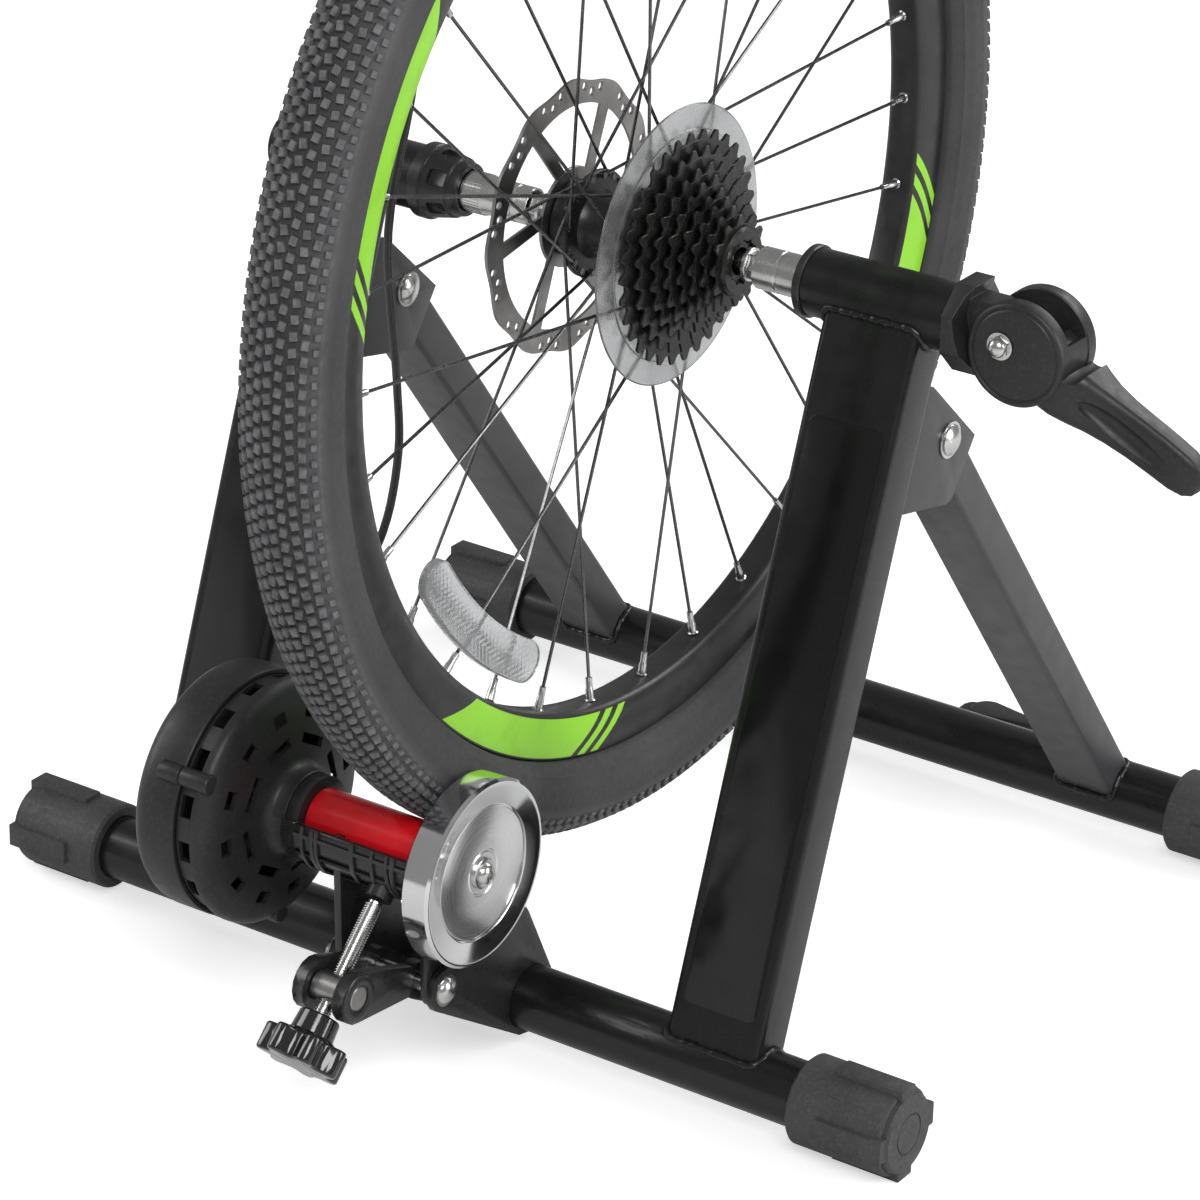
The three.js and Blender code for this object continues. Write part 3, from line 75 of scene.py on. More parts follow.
# Places read from the frame
HUB = middle("tyre")
REAR = middle("rear_base_tube")
FRONT = middle("front_base_tube")
ROLLER = middle("flywheel")
PIVOT = middle("right_pivot_bolt")
UNIT_BOLT = middle("unit_pivot_bolt")
TRUNNION = middle("trunnion_pin")
IN_FRAME = Matrix.Scale(MM, 4)
WHEEL_PLACE = placed(HUB)
UNIT_PLACE = placed((HUB.x, ROLLER.y, ROLLER.z))
UNIT_BOLT_PLACE = placed(UNIT_BOLT)
SCREW_PLACE = placed(TRUNNION, -math.atan2(ROLLER.y - TRUNNION.y, ROLLER.z - TRUNNION.z))
CAM_AXIS = 238.0
CAM_REST_TURN = math.radians(27)
CAM_BOLT_PLACE = WHEEL_PLACE @ Matrix.Translation((CAM_AXIS, 0, 0))
CAM_PLACE = CAM_BOLT_PLACE @ Matrix.Rotation(CAM_REST_TURN, 4, "Y")
UPRIGHT_LEAN = lean(HUB, REAR)
STRUT_LEAN = lean(PIVOT, FRONT)
SIDES = {"right": middle("right_upright").x, "left": middle("left_upright").x}

# Round pieces
TUBE_RADIUS = 19.0
TUBE_STEPS = 72
SMALL_STEPS = 32
SMOOTH_ANGLE = math.radians(38)
FLAT_ANGLE = math.radians(1)
MERGE_DISTANCE = 0.004
WIRE_ROUNDNESS = 3

# Wheel
TYRE_CENTRE = 318.0
TYRE_SECTION = 27.0
RIM_INNER = 272.0
SPOKES_A_SIDE = 16
SPOKE_STEP = math.radians(11.25)
FIRST_SPOKE = math.radians(1.4)
SPOKE_LEAN = math.radians(67.5)
SPOKE_CIRCLE = 28.0
RIGHT_FLANGE = 16.5
LEFT_FLANGE = -35.0
FLANGE_OFFSET = 1.75

# Colours that a user would change
PAINT_BLACK = (0.007, 0.007, 0.0075)
PLASTIC_BLACK = (0.018, 0.018, 0.019)
RUBBER_BLACK = (0.046, 0.046, 0.047)
TYRE_GREY = (0.052, 0.052, 0.054)
ROLLER_RED = (0.64, 0.006, 0.012)
DECAL_GREEN = (0.28, 0.66, 0.03)
CLEAR_GREY = (0.78, 0.79, 0.80)
SPROCKET_GREY = (0.017, 0.0165, 0.016)


def length_property(name, description, default, low, high):
    return bpy.props.FloatProperty(
        name=name, description=description, default=default, min=low, max=high, unit="LENGTH")


class TrainerSizes(bpy.types.PropertyGroup):
    """Sizes of the details that the scene adds to the frame, in metres."""

    knob_height: length_property(
        "Tread height", "Height of the tread blocks above the casing", 0.0027, 0.0005, 0.004)
    tread_pitches: bpy.props.IntProperty(
        name="Tread pitches",
        description="Number of repeats of the tread round the tyre",
        default=124,
        min=24,
        max=160,
    )
    spoke_width: length_property(
        "Spoke diameter", "Diameter of a spoke's wire", 0.002, 0.001, 0.003)
    weld_width: length_property(
        "Weld width", "Mean diameter of the weld beads at the tubes", 0.0046, 0.001, 0.008)
    panel_width: length_property(
        "Panel width", "Width of the bare decal panel on each upright", 0.047, 0.02, 0.052)
    panel_length: length_property(
        "Panel length", "Length of the bare decal panel on each upright", 0.332, 0.1, 0.345)


def colour_property(name, description, default):
    return bpy.props.FloatVectorProperty(
        name=name,
        description=description,
        subtype="COLOR",
        size=3,
        min=0.0,
        max=1.0,
        default=default,
    )


class TrainerColours(bpy.types.PropertyGroup):
    """Colours of the finishes."""

    paint: colour_property("Frame paint", "Powder coat of the tubes", PAINT_BLACK)
    plastic: colour_property("Plastic", "Moulded parts of the unit and lever", PLASTIC_BLACK)
    rubber: colour_property("Foot rubber", "End caps of the base tubes", RUBBER_BLACK)
    tyre: colour_property("Tyre", "Tread and side walls", TYRE_GREY)
    roller: colour_property("Roller", "Sleeve that the tyre runs on", ROLLER_RED)
    decal: colour_property("Rim bands", "Generic bands on the rim", DECAL_GREEN)
    clear: colour_property("Clear plastic", "Spoke guard and reflector", CLEAR_GREY)
    sprocket: colour_property("Sprockets", "Oiled steel of the sprockets", SPROCKET_GREY)


def sizes():
    return bpy.context.scene.trainer_sizes


def colours():
    return bpy.context.scene.trainer_colours


# Modelling, all in millimetres


def deselect():
    bpy.ops.object.select_all(action="DESELECT")


def only(piece):
    deselect()
    piece.select_set(True)
    bpy.context.view_layer.objects.active = piece


def leave_edit():
    bpy.ops.object.mode_set(mode="OBJECT")
    return bpy.context.view_layer.objects.active


def chain(points):
    """A row of joined points, left in edit mode with every point selected."""
    deselect()
    bpy.ops.mesh.primitive_plane_add(size=1, location=(0, 0, 0))
    bpy.ops.object.mode_set(mode="EDIT")
    bpy.ops.mesh.merge(type="CENTER")
    bpy.ops.transform.translate(value=points[0])
    for before, after in zip(points, points[1:]):
        step = Vector(after) - Vector(before)
        bpy.ops.mesh.extrude_vertices_move(TRANSFORM_OT_translate={"value": step})
    bpy.ops.mesh.select_all(action="SELECT")


def tidy_mesh():
    """In edit mode: one point where two lie together, and faces that look outward."""
    bpy.ops.mesh.select_all(action="SELECT")
    bpy.ops.mesh.remove_doubles(threshold=MERGE_DISTANCE)
    bpy.ops.mesh.normals_make_consistent(inside=False)


def turned(profile, steps=TUBE_STEPS, axis="X"):
    """A section of (along, radius) points spun round the axis."""
    chain([(along, 0, radius) for along, radius in profile])
    bpy.ops.mesh.spin(steps=steps, angle=TURN, center=(0, 0, 0), axis=(1, 0, 0))
    tidy_mesh()
    piece = leave_edit()
    if axis == "Y":
        piece.data.transform(Matrix.Rotation(math.pi / 2, 4, "Z"))
    if axis == "Z":
        piece.data.transform(Matrix.Rotation(-math.pi / 2, 4, "Y"))
    return piece


def plate(outline, low, high, axis="X"):
    """A closed outline in the plane across the axis, extruded from low to high."""
    at = {
        "X": lambda u, v: (low, u, v),
        "Y": lambda u, v: (u, low, v),
        "Z": lambda u, v: (u, v, low),
    }[axis]
    along = {"X": (1, 0, 0), "Y": (0, 1, 0), "Z": (0, 0, 1)}[axis]
    chain([at(u, v) for u, v in [*outline, outline[0]]])
    bpy.ops.mesh.remove_doubles(threshold=MERGE_DISTANCE)
    bpy.ops.mesh.edge_face_add()
    step = Vector(along) * (high - low)
    bpy.ops.mesh.extrude_region_move(TRANSFORM_OT_translate={"value": step})
    tidy_mesh()
    return leave_edit()


def rod(radius, low, high, axis="X", across=(0, 0), sides=SMALL_STEPS):
    """A round bar between two places on the axis."""
    centre = (low + high) / 2
    place, turn = {
        "X": ((centre, across[0], across[1]), (0, math.pi / 2, 0)),
        "Y": ((across[0], centre, across[1]), (-math.pi / 2, 0, 0)),
        "Z": ((across[0], across[1], centre), (0, 0, 0)),
    }[axis]
    deselect()
    bpy.ops.mesh.primitive_cone_add(
        vertices=sides,
        radius1=radius,
        radius2=radius,
        depth=high - low,
        location=place,
        rotation=turn,
    )
    bpy.ops.object.transform_apply()
    return bpy.context.object


def block(low, high):
    deselect()
    centre = [(a + b) / 2 for a, b in zip(low, high)]
    bpy.ops.mesh.primitive_cube_add(size=1, location=centre)
    bpy.ops.transform.resize(value=[b - a for a, b in zip(low, high)])
    bpy.ops.object.transform_apply()
    return bpy.context.object


def joined(pieces):
    only(pieces[0])
    for piece in pieces[1:]:
        piece.select_set(True)
    bpy.ops.object.join()
    return pieces[0]


def copied(piece, matrix):
    twin = piece.copy()
    twin.data = piece.data.copy()
    bpy.context.collection.objects.link(twin)
    twin.data.transform(matrix)
    return twin


def removed(piece):
    bpy.data.objects.remove(piece, do_unlink=True)


def ring_of(piece, count, start=0.0):
    """The piece repeated evenly round the X axis, as one object."""
    twins = [copied(piece, Matrix.Rotation(start + i * TURN / count, 4, "X")) for i in range(count)]
    removed(piece)
    return joined(twins)


def apply_modifier(piece, kind, **settings):
    only(piece)
    modifier = piece.modifiers.new(kind.lower(), kind)
    for name, value in settings.items():
        setattr(modifier, name, value)
    bpy.ops.object.modifier_apply(modifier=modifier.name)
    return piece


def cut(piece, tool):
    """The piece without what the tool covers; the tool is used up."""
    apply_modifier(piece, "BOOLEAN", object=tool, operation="DIFFERENCE", solver="EXACT")
    removed(tool)
    return piece


def soften(piece, width, segments=2, angle=SMOOTH_ANGLE):
    return apply_modifier(
        piece,
        "BEVEL",
        width=width,
        segments=segments,
        limit_method="ANGLE",
        angle_limit=angle,
        miter_outer="MITER_ARC",
    )


def bead(points, radii):
    """A closed thread of metal along points, as thick at each as its radius says."""
    chain([*points, points[0]])
    bpy.ops.mesh.remove_doubles(threshold=MERGE_DISTANCE)
    piece = leave_edit()
    only(piece)
    bpy.ops.object.convert(target="CURVE")
    curve = piece.data
    curve.bevel_depth = 1.0
    curve.bevel_resolution = WIRE_ROUNDNESS
    for spline in curve.splines:
        for i, point in enumerate(spline.points):
            point.radius = radii[i % len(radii)]
    bpy.ops.object.convert(target="MESH")
    return bpy.context.object


def rounded(half_width, half_height, corner, steps=5, centre=(0, 0)):
    """Outline of a rectangle with round corners."""
    outline = []
    for quarter, (sign_u, sign_v) in enumerate([(1, 1), (-1, 1), (-1, -1), (1, -1)]):
        for i in range(steps + 1):
            angle = (quarter + i / steps) * math.pi / 2
            u = sign_u * (half_width - corner) + corner * math.cos(angle)
            v = sign_v * (half_height - corner) + corner * math.sin(angle)
            outline.append((centre[0] + u, centre[1] + v))
    return outline


def sector(inner, outer, start, end, steps=24):
    """Outline of a part of a ring between two angles in degrees."""
    angles = [math.radians(start + (end - start) * i / steps) for i in range(steps + 1)]
    outside = [(outer * math.cos(a), outer * math.sin(a)) for a in angles]
    inside = [(inner * math.cos(a), inner * math.sin(a)) for a in reversed(angles)]
    return outside + inside


def refined(node, width, segments=2):
    """A copy of a CAD node's mesh, merged, with its edges rounded by a width in millimetres."""
    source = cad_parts[node]
    twin = source.copy()
    twin.data = source.data.copy()
    twin.parent = None
    bpy.context.collection.objects.link(twin)
    twin.hide_render = False
    twin.matrix_world = Matrix.Identity(4)
    twin.data.transform(Matrix.Scale(1 / MM, 4))
    only(twin)
    bpy.ops.object.mode_set(mode="EDIT")
    bpy.ops.mesh.select_all(action="SELECT")
    bpy.ops.mesh.remove_doubles(threshold=MERGE_DISTANCE)
    bpy.ops.mesh.dissolve_limited(angle_limit=FLAT_ANGLE)
    leave_edit()
    return soften(twin, width, segments)


# The record's material slot that each finish belongs to
SLOTS = {
    "paint": "black_paint",
    "paint with painted light": "black_paint",
    "panel": "black_paint",
    "plastic": "black_plastic",
    "smooth plastic": "black_plastic",
    "knob": "knob_plastic",
    "rubber": "foot_rubber",
    "tyre": "tyre_rubber",
    "zinc": "zinc",
    "steel": "zinc",
    "chrome": "chrome",
    "chrome face": "chrome",
    "disc steel": "bare_steel",
    "alloy": "black_alloy",
    "rim": "black_alloy",
    "spoke": "spoke_steel",
    "roller": "red_plastic",
    "clear": "clear_plastic",
    "prism": "clear_plastic",
    "sprocket": "sprocket_steel",
}
FINISH = {}


def finish_piece(piece, name, place, body, finish, *nodes, slot=None, smooth=SMOOTH_ANGLE):
    """Brings a piece to its place on its body, gives it its finish and lets it stand for the nodes."""
    slot = slot or SLOTS[finish]
    piece.name = name
    piece.data.name = name
    piece.data.transform(place)
    piece.data.materials.clear()
    piece.data.materials.append(FINISH[finish])
    only(piece)
    bpy.ops.object.shade_smooth_by_angle(angle=smooth)
    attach(piece, body)
    if nodes:
        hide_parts(*nodes)
    deselect()


# Finishes, all on Object coordinates


class Nodes:
    """Builds one material's nodes."""

    def __init__(self, name):
        self.material = bpy.data.materials.new(name)
        self.material.use_nodes = True
        self.tree = self.material.node_tree
        self.shader = self.tree.nodes["Principled BSDF"]
        self.coordinates = self.add("ShaderNodeTexCoord").outputs["Object"]

    def add(self, kind, inputs=(), **settings):
        node = self.tree.nodes.new(kind)
        for name, value in settings.items():
            setattr(node, name, value)
        for key, value in dict(inputs).items():
            if isinstance(value, bpy.types.NodeSocket):
                self.tree.links.new(value, node.inputs[key])
            else:
                node.inputs[key].default_value = value
        return node

    def mapped(self, centre, scale=(1, 1, 1)):
        """Object coordinates from a centre in the frame."""
        moved = self.add(
            "ShaderNodeVectorMath",
            {0: self.coordinates, 1: tuple(-c for c in centre)},
            operation="ADD",
        )
        return self.add(
            "ShaderNodeVectorMath",
            {0: moved.outputs[0], 1: scale},
            operation="MULTIPLY",
        ).outputs[0]

    def noise(self, scale, detail=3.0, vector=None, distortion=0.0):
        return self.add(
            "ShaderNodeTexNoise",
            {
                "Vector": self.coordinates if vector is None else vector,
                "Scale": scale,
                "Detail": detail,
                "Distortion": distortion,
            },
        ).outputs["Fac"]

    def between(self, value, low, high, start=0.3, end=0.7):
        """A value brought from start..end to low..high."""
        return self.add(
            "ShaderNodeMapRange",
            {"Value": value, "From Min": start, "From Max": end, "To Min": low, "To Max": high},
        ).outputs["Result"]

    def maths(self, operation, first, second=0.0):
        return self.add("ShaderNodeMath", {0: first, 1: second}, operation=operation).outputs[0]

    def hypotenuse(self, first, second):
        squares = [self.maths("MULTIPLY", side, side) for side in (first, second)]
        return self.maths("POWER", self.maths("ADD", *squares), 0.5)

    def mix(self, share, first, second):
        node = self.add("ShaderNodeMix", data_type="RGBA")
        for key, value in ((0, share), (6, first), (7, second)):
            if isinstance(value, bpy.types.NodeSocket):
                self.tree.links.new(value, node.inputs[key])
            elif key == 0:
                node.inputs[key].default_value = value
            else:
                node.inputs[key].default_value = (*value, 1.0)
        return node.outputs[2]

    def bump(self, height, distance, strength=1.0, under=None):
        inputs = {"Height": height, "Distance": distance, "Strength": strength}
        if under is not None:
            inputs["Normal"] = under
        return self.add("ShaderNodeBump", inputs).outputs["Normal"]

    def put(self, key, value):
        if isinstance(value, bpy.types.NodeSocket):
            self.tree.links.new(value, self.shader.inputs[key])
        else:
            self.shader.inputs[key].default_value = value


def shade(colour, share):
    return tuple(min(1.0, c * share) for c in colour)


# How much finer the dust's specks and the changes of gloss are than the mottling
SPECKS_PER_MOTTLE = 14
GLOSS_PER_MOTTLE = 5


def surface(
    name,
    colour,
    roughness,
    metallic=0.0,
    mottle=(25.0, 0.85, 1.2),
    rough_spread=0.06,
    grain=(900.0, 0.0001, 0.3),
    dust=(0.0, (0.3, 0.3, 0.29)),
    coat=0.0,
    specular=0.5,
):
    """A finish with a broad change of tone, an uneven gloss, a fine grain and some dust.

    mottle is a noise's scale with its darkest and lightest shares of the colour, grain is a scale with
    a depth in metres and a strength, and dust is the share that it covers with its colour.
    """
    make = Nodes(name)
    scale, darkest, lightest = mottle
    tone = make.between(make.noise(scale, 4.0), 0.0, 1.0)
    base = make.mix(tone, shade(colour, darkest), shade(colour, lightest))
    dust_share, dust_colour = dust
    if dust_share > 0:
        specks = make.noise(scale * SPECKS_PER_MOTTLE, 6.0, distortion=0.4)
        base = make.mix(make.between(specks, 0.0, dust_share, 0.5, 0.72), base, dust_colour)
    make.put("Base Color", base)
    uneven = make.noise(scale * GLOSS_PER_MOTTLE, 3.0)
    make.put("Roughness", make.between(uneven, roughness - rough_spread, roughness + rough_spread))
    make.put("Metallic", metallic)
    make.put("Coat Weight", coat)
    make.put("Coat Roughness", 0.08)
    make.put("Specular IOR Level", specular)
    grain_scale, depth, strength = grain
    make.put("Normal", make.bump(make.noise(grain_scale, 2.0), depth, strength))
    return make.material


def chrome_face(name, centre):
    """Plated steel with fine turned rings about the X axis."""
    make = Nodes(name)
    dark = (0.74, 0.74, 0.745)
    bright = (0.88, 0.88, 0.88)
    radial = make.mapped(centre, (0.0, 1.0, 1.0))
    distance = make.add("ShaderNodeVectorMath", {0: radial}, operation="LENGTH").outputs["Value"]
    along = make.add("ShaderNodeCombineXYZ", {"X": distance}).outputs[0]
    rings = make.noise(2600.0, 3.0, vector=along)
    make.put("Base Color", make.mix(make.between(rings, 0.0, 1.0), dark, bright))
    make.put("Metallic", 1.0)
    make.put("Roughness", make.between(rings, 0.16, 0.32))
    make.put("Anisotropic", 0.5)
    make.put("Normal", make.bump(rings, 0.000008, 0.3))
    return make.material


# Bands on the rim: four of them, each painted over a share of its quarter and then striped
RIM_BANDS = 4
BAND_START_SHARE = 0.46
BAND_END_SHARE = 0.3
STRIPES_END_SHARE = 0.38
STRIPES_A_BAND = 34.0
STRIPE_WIDTH_SHARE = 0.55
STRIPE_SLANT = 4.5
BAND_INNER = 0.2745
BAND_MIDDLE = 0.285
BAND_OUTER = 0.2965
RIM_FACE = 0.0094


def wheel_coordinates(make, centre):
    """Across, along and up from the wheel's centre, and the distance from its axle."""
    local = make.add("ShaderNodeSeparateXYZ", {0: make.mapped(centre)})
    across, along, up = (local.outputs[i] for i in range(3))
    return across, along, up, make.hypotenuse(along, up)


def rim_finish(name, colour, centre):
    """Satin black alloy with four generic green bands that end in slanted stripes."""
    make = Nodes(name)
    across, along, up, radius = wheel_coordinates(make, centre)
    angle = make.maths("ARCTAN2", up, along)
    slant = make.maths("MULTIPLY", make.maths("SUBTRACT", radius, BAND_MIDDLE), STRIPE_SLANT)
    turns = make.maths("MULTIPLY", make.maths("ADD", angle, slant), RIM_BANDS / TURN)
    phase = make.maths("FRACT", make.maths("ADD", turns, 10 + BAND_START_SHARE))
    main = make.maths("LESS_THAN", phase, BAND_END_SHARE)
    stripe = make.maths("FRACT", make.maths("MULTIPLY", phase, STRIPES_A_BAND))
    stripes = make.maths("LESS_THAN", stripe, STRIPE_WIDTH_SHARE)
    tail = make.maths("MULTIPLY", stripes, make.maths("LESS_THAN", phase, STRIPES_END_SHARE))
    marks = make.maths("MAXIMUM", main, tail)
    outside_bead = make.maths("GREATER_THAN", radius, BAND_INNER)
    inside = make.maths("MULTIPLY", outside_bead, make.maths("LESS_THAN", radius, BAND_OUTER))
    on_face = make.maths("GREATER_THAN", make.maths("ABSOLUTE", across), RIM_FACE)
    painted = make.maths("MULTIPLY", make.maths("MULTIPLY", marks, inside), on_face)
    grime = make.noise(60.0, 5.0)
    green = make.mix(make.between(grime, 0.0, 0.2, 0.55, 0.8), colour, shade(colour, 0.35))
    black = make.mix(make.between(grime, 0.0, 1.0), (0.012, 0.012, 0.012), (0.022, 0.022, 0.022))
    make.put("Base Color", make.mix(painted, black, green))
    make.put("Roughness", make.between(make.noise(140.0), 0.28, 0.42))
    make.put("Specular IOR Level", 0.5)
    make.put("Normal", make.bump(make.noise(1400.0, 2.0), 0.00005, 0.25))
    return make.material


def clear_finish(name, colour, roughness, see_through, cells=0.0):
    """Clear moulded plastic, with small prisms where cells is above nought."""
    make = Nodes(name)
    haze = make.noise(70.0, 4.0)
    tone = make.between(haze, 0.0, 1.0)
    make.put("Base Color", make.mix(tone, shade(colour, 0.9), shade(colour, 1.08)))
    make.put("Roughness", make.between(haze, roughness - 0.05, roughness + 0.1))
    make.put("Transmission Weight", see_through)
    make.put("IOR", 1.46)
    if cells:
        pattern = make.add(
            "ShaderNodeTexVoronoi",
            {"Vector": make.coordinates, "Scale": cells, "Randomness": 0.0},
        ).outputs["Distance"]
        make.put("Normal", make.bump(pattern, 0.0003, 0.6))
    else:
        make.put("Normal", make.bump(make.noise(90.0), 0.00001, 0.1))
    return make.material


# Where the dust and painted light on the tread's blocks begin and are full: from the axle, and from the
# middle of the tyre's section
CROWN_RADII = (0.322, 0.331)
BLOCK_RADII = (0.0247, 0.0268)


def knob_rubber(name, colour, centre):
    """Tyre rubber: the tops of the tread's blocks lightened in blotches by dust and painted light, the
    grooves left darker, fine lines on its walls.
    """
    make = Nodes(name)
    across, along, up, radius = wheel_coordinates(make, centre)
    section = make.hypotenuse(across, make.maths("SUBTRACT", radius, TYRE_CENTRE * MM))
    crown = make.between(radius, 0.0, 1.0, *CROWN_RADII)
    block_tops = make.maths("MULTIPLY", crown, make.between(section, 0.0, 1.0, *BLOCK_RADII))
    dust = make.noise(240.0, 6.0)
    tone = make.between(make.noise(18.0, 4.0), 0.0, 1.0)
    base = make.mix(tone, shade(colour, 0.8), shade(colour, 1.15))
    # Dust and painted light: the tops of the tread's blocks are lightened in blotches, up to 3.6 times the
    # tyre's colour.
    dust_and_light = make.maths("MULTIPLY", block_tops, make.between(dust, 0.15, 0.85))
    base = make.mix(dust_and_light, base, shade(colour, 3.6))
    make.put("Base Color", base)
    make.put("Roughness", make.between(dust, 0.62, 0.86))
    make.put("Specular IOR Level", 0.35)
    round_section = make.add("ShaderNodeCombineXYZ", {"X": section, "Y": radius}).outputs[0]
    lines = make.noise(900.0, 2.0, vector=round_section)
    grain = make.bump(make.noise(420.0, 5.0), 0.0004, 0.6)
    make.put("Normal", make.bump(lines, 0.00006, 0.25, under=grain))
    return make.material


def make_finishes():
    """Every finish, once."""
    c = colours()
    FINISH["paint"] = surface(
        "black powder coat", c.paint, 0.3, mottle=(14.0, 0.8, 1.3),
        grain=(1300.0, 0.00004, 0.3), coat=0.15, specular=0.35)
    # The legs and gussets take the frame's black paint in satin, made 6.2 times lighter: the lighter
    # colour is painted light on them.
    FINISH["paint with painted light"] = surface(
        "satin powder coat with painted light", shade(c.paint, 6.2), 0.38, mottle=(14.0, 0.88, 1.15),
        grain=(1300.0, 0.00006, 0.35))
    FINISH["panel"] = surface(
        "gloss panel film", shade(c.paint, 0.7), 0.18, mottle=(9.0, 0.9, 1.1),
        grain=(300.0, 0.00002, 0.2), specular=0.4)
    FINISH["plastic"] = surface(
        "grained black plastic", c.plastic, 0.42, mottle=(30.0, 0.8, 1.25), grain=(2600.0, 0.00006, 0.4),
        dust=(0.06, (0.2, 0.2, 0.2)), specular=0.4)
    FINISH["smooth plastic"] = surface(
        "smooth black plastic", c.plastic, 0.3, mottle=(22.0, 0.85, 1.2), grain=(1200.0, 0.00005, 0.3))
    FINISH["knob"] = surface(
        "gloss knob plastic", shade(c.plastic, 0.6), 0.1, mottle=(40.0, 0.9, 1.1), coat=0.6)
    FINISH["rubber"] = surface(
        "foot rubber", c.rubber, 0.56, mottle=(35.0, 0.8, 1.2), grain=(2200.0, 0.0001, 0.5),
        dust=(0.2, (0.18, 0.18, 0.18)), specular=0.4)
    FINISH["tyre"] = knob_rubber("tyre rubber", c.tyre, HUB)
    FINISH["zinc"] = surface(
        "zinc plate", (0.62, 0.62, 0.61), 0.24, metallic=1.0, mottle=(80.0, 0.9, 1.06), rough_spread=0.04,
        grain=(300.0, 0.00001, 0.15))
    FINISH["chrome"] = surface(
        "bright chrome", (0.74, 0.74, 0.75), 0.1, metallic=1.0, mottle=(30.0, 0.96, 1.02),
        rough_spread=0.02, grain=(120.0, 0.000008, 0.1))
    FINISH["chrome face"] = chrome_face("turned chrome face", (0, ROLLER.y, ROLLER.z))
    FINISH["steel"] = surface(
        "bare steel", (0.42, 0.41, 0.4), 0.33, metallic=1.0, mottle=(60.0, 0.85, 1.1), rough_spread=0.05,
        grain=(400.0, 0.00001, 0.15))
    FINISH["disc steel"] = surface(
        "brake disc steel", (0.3, 0.29, 0.285), 0.36, metallic=1.0, mottle=(45.0, 0.75, 1.2),
        rough_spread=0.06, grain=(400.0, 0.00001, 0.15))
    FINISH["alloy"] = surface(
        "black alloy", (0.014, 0.014, 0.015), 0.34, metallic=0.2, mottle=(40.0, 0.8, 1.3),
        dust=(0.2, (0.12, 0.12, 0.12)))
    FINISH["spoke"] = surface(
        "dark spoke steel", (0.13, 0.13, 0.13), 0.26, metallic=0.95, mottle=(60.0, 0.8, 1.2))
    FINISH["rim"] = rim_finish("rim with green bands", c.decal, HUB)
    FINISH["roller"] = surface(
        "red roller sleeve", c.roller, 0.22, mottle=(26.0, 0.86, 1.14), grain=(700.0, 0.00006, 0.3),
        dust=(0.1, (0.2, 0.02, 0.02)), coat=0.1, specular=0.35)
    FINISH["clear"] = clear_finish("smoked clear plastic", shade(c.clear, 0.56), 0.14, 0.84)
    FINISH["prism"] = clear_finish(
        "prismatic clear plastic", shade(c.clear, 0.74), 0.12, 0.8, cells=300.0)
    FINISH["sprocket"] = surface(
        "oiled sprocket steel", c.sprocket, 0.32, metallic=0.5, mottle=(110.0, 0.6, 1.7),
        rough_spread=0.1, grain=(500.0, 0.00003, 0.3), dust=(0.15, (0.14, 0.13, 0.12)))
    FINISH["cable"] = surface("cable jacket", (0.02, 0.02, 0.02), 0.32, mottle=(60.0, 0.85, 1.2))


# Camera and light
CAMERA_AZIMUTH = math.radians(34.1)
CAMERA_ELEVATION = math.radians(25.05)
CAMERA_ROLL = math.radians(1.3)
CAMERA_DISTANCE = 2.803
CAMERA_TARGET = Vector((-0.035, 0.0, 0.2065))
CAMERA_LENS = 145.84
SENSOR_WIDTH = 36.0
VIEW_REACH = 30.0

# Each lamp's name, place, height that it is aimed at, width and height in metres, and watts
LAMPS = [
    ("key", (1.6, -2.2, 2.6), 0.25, 1.6, 1.6, 62),
    ("fill", (-2.6, -1.2, 1.6), 0.3, 1.4, 2.0, 34),
    ("back", (0.8, 2.6, 2.2), 0.3, 2.2, 1.2, 40),
    ("side", (2.6, 0.6, 1.2), 0.3, 1.0, 1.6, 34),
]
WORLD_LIGHT = 0.3
FLOOR_WIDTH = 14.0
FLOOR_LEVEL = -0.0004
FLOOR_TONE = 0.8
FLOOR_GLOW = 0.55


def camera_place():
    flat = math.cos(CAMERA_ELEVATION)
    back = Vector((
        math.sin(CAMERA_AZIMUTH) * flat,
        -math.cos(CAMERA_AZIMUTH) * flat,
        math.sin(CAMERA_ELEVATION),
    ))
    right = (-back).cross(Vector((0, 0, 1))).normalized()
    up = right.cross(-back)
    cosine, sine = math.cos(CAMERA_ROLL), math.sin(CAMERA_ROLL)
    across = right * cosine + up * sine
    above = up * cosine - right * sine
    place = Matrix((across, above, back)).transposed().to_4x4()
    place.translation = CAMERA_TARGET + back * CAMERA_DISTANCE
    return place


def softbox(name, place, target, width, height, power):
    deselect()
    bpy.ops.object.light_add(type="AREA", location=place)
    lamp = bpy.context.object
    lamp.name = name
    lamp.data.shape = "RECTANGLE"
    lamp.data.size = width
    lamp.data.size_y = height
    lamp.data.energy = power
    lamp.rotation_euler = (Vector(target) - Vector(place)).to_track_quat("-Z", "Y").to_euler()


def seen_as_white(material, shader_output, strength):
    """Adds white to what the camera and clear pieces see of a backdrop."""
    tree = material.node_tree
    path = tree.nodes.new("ShaderNodeLightPath")
    through = tree.nodes.new("ShaderNodeMath")
    through.operation = "MAXIMUM"
    tree.links.new(path.outputs["Is Camera Ray"], through.inputs[0])
    tree.links.new(path.outputs["Is Transmission Ray"], through.inputs[1])
    level = tree.nodes.new("ShaderNodeMath")
    level.operation = "MULTIPLY"
    level.inputs[1].default_value = strength
    tree.links.new(through.outputs[0], level.inputs[0])
    tree.links.new(level.outputs[0], shader_output)


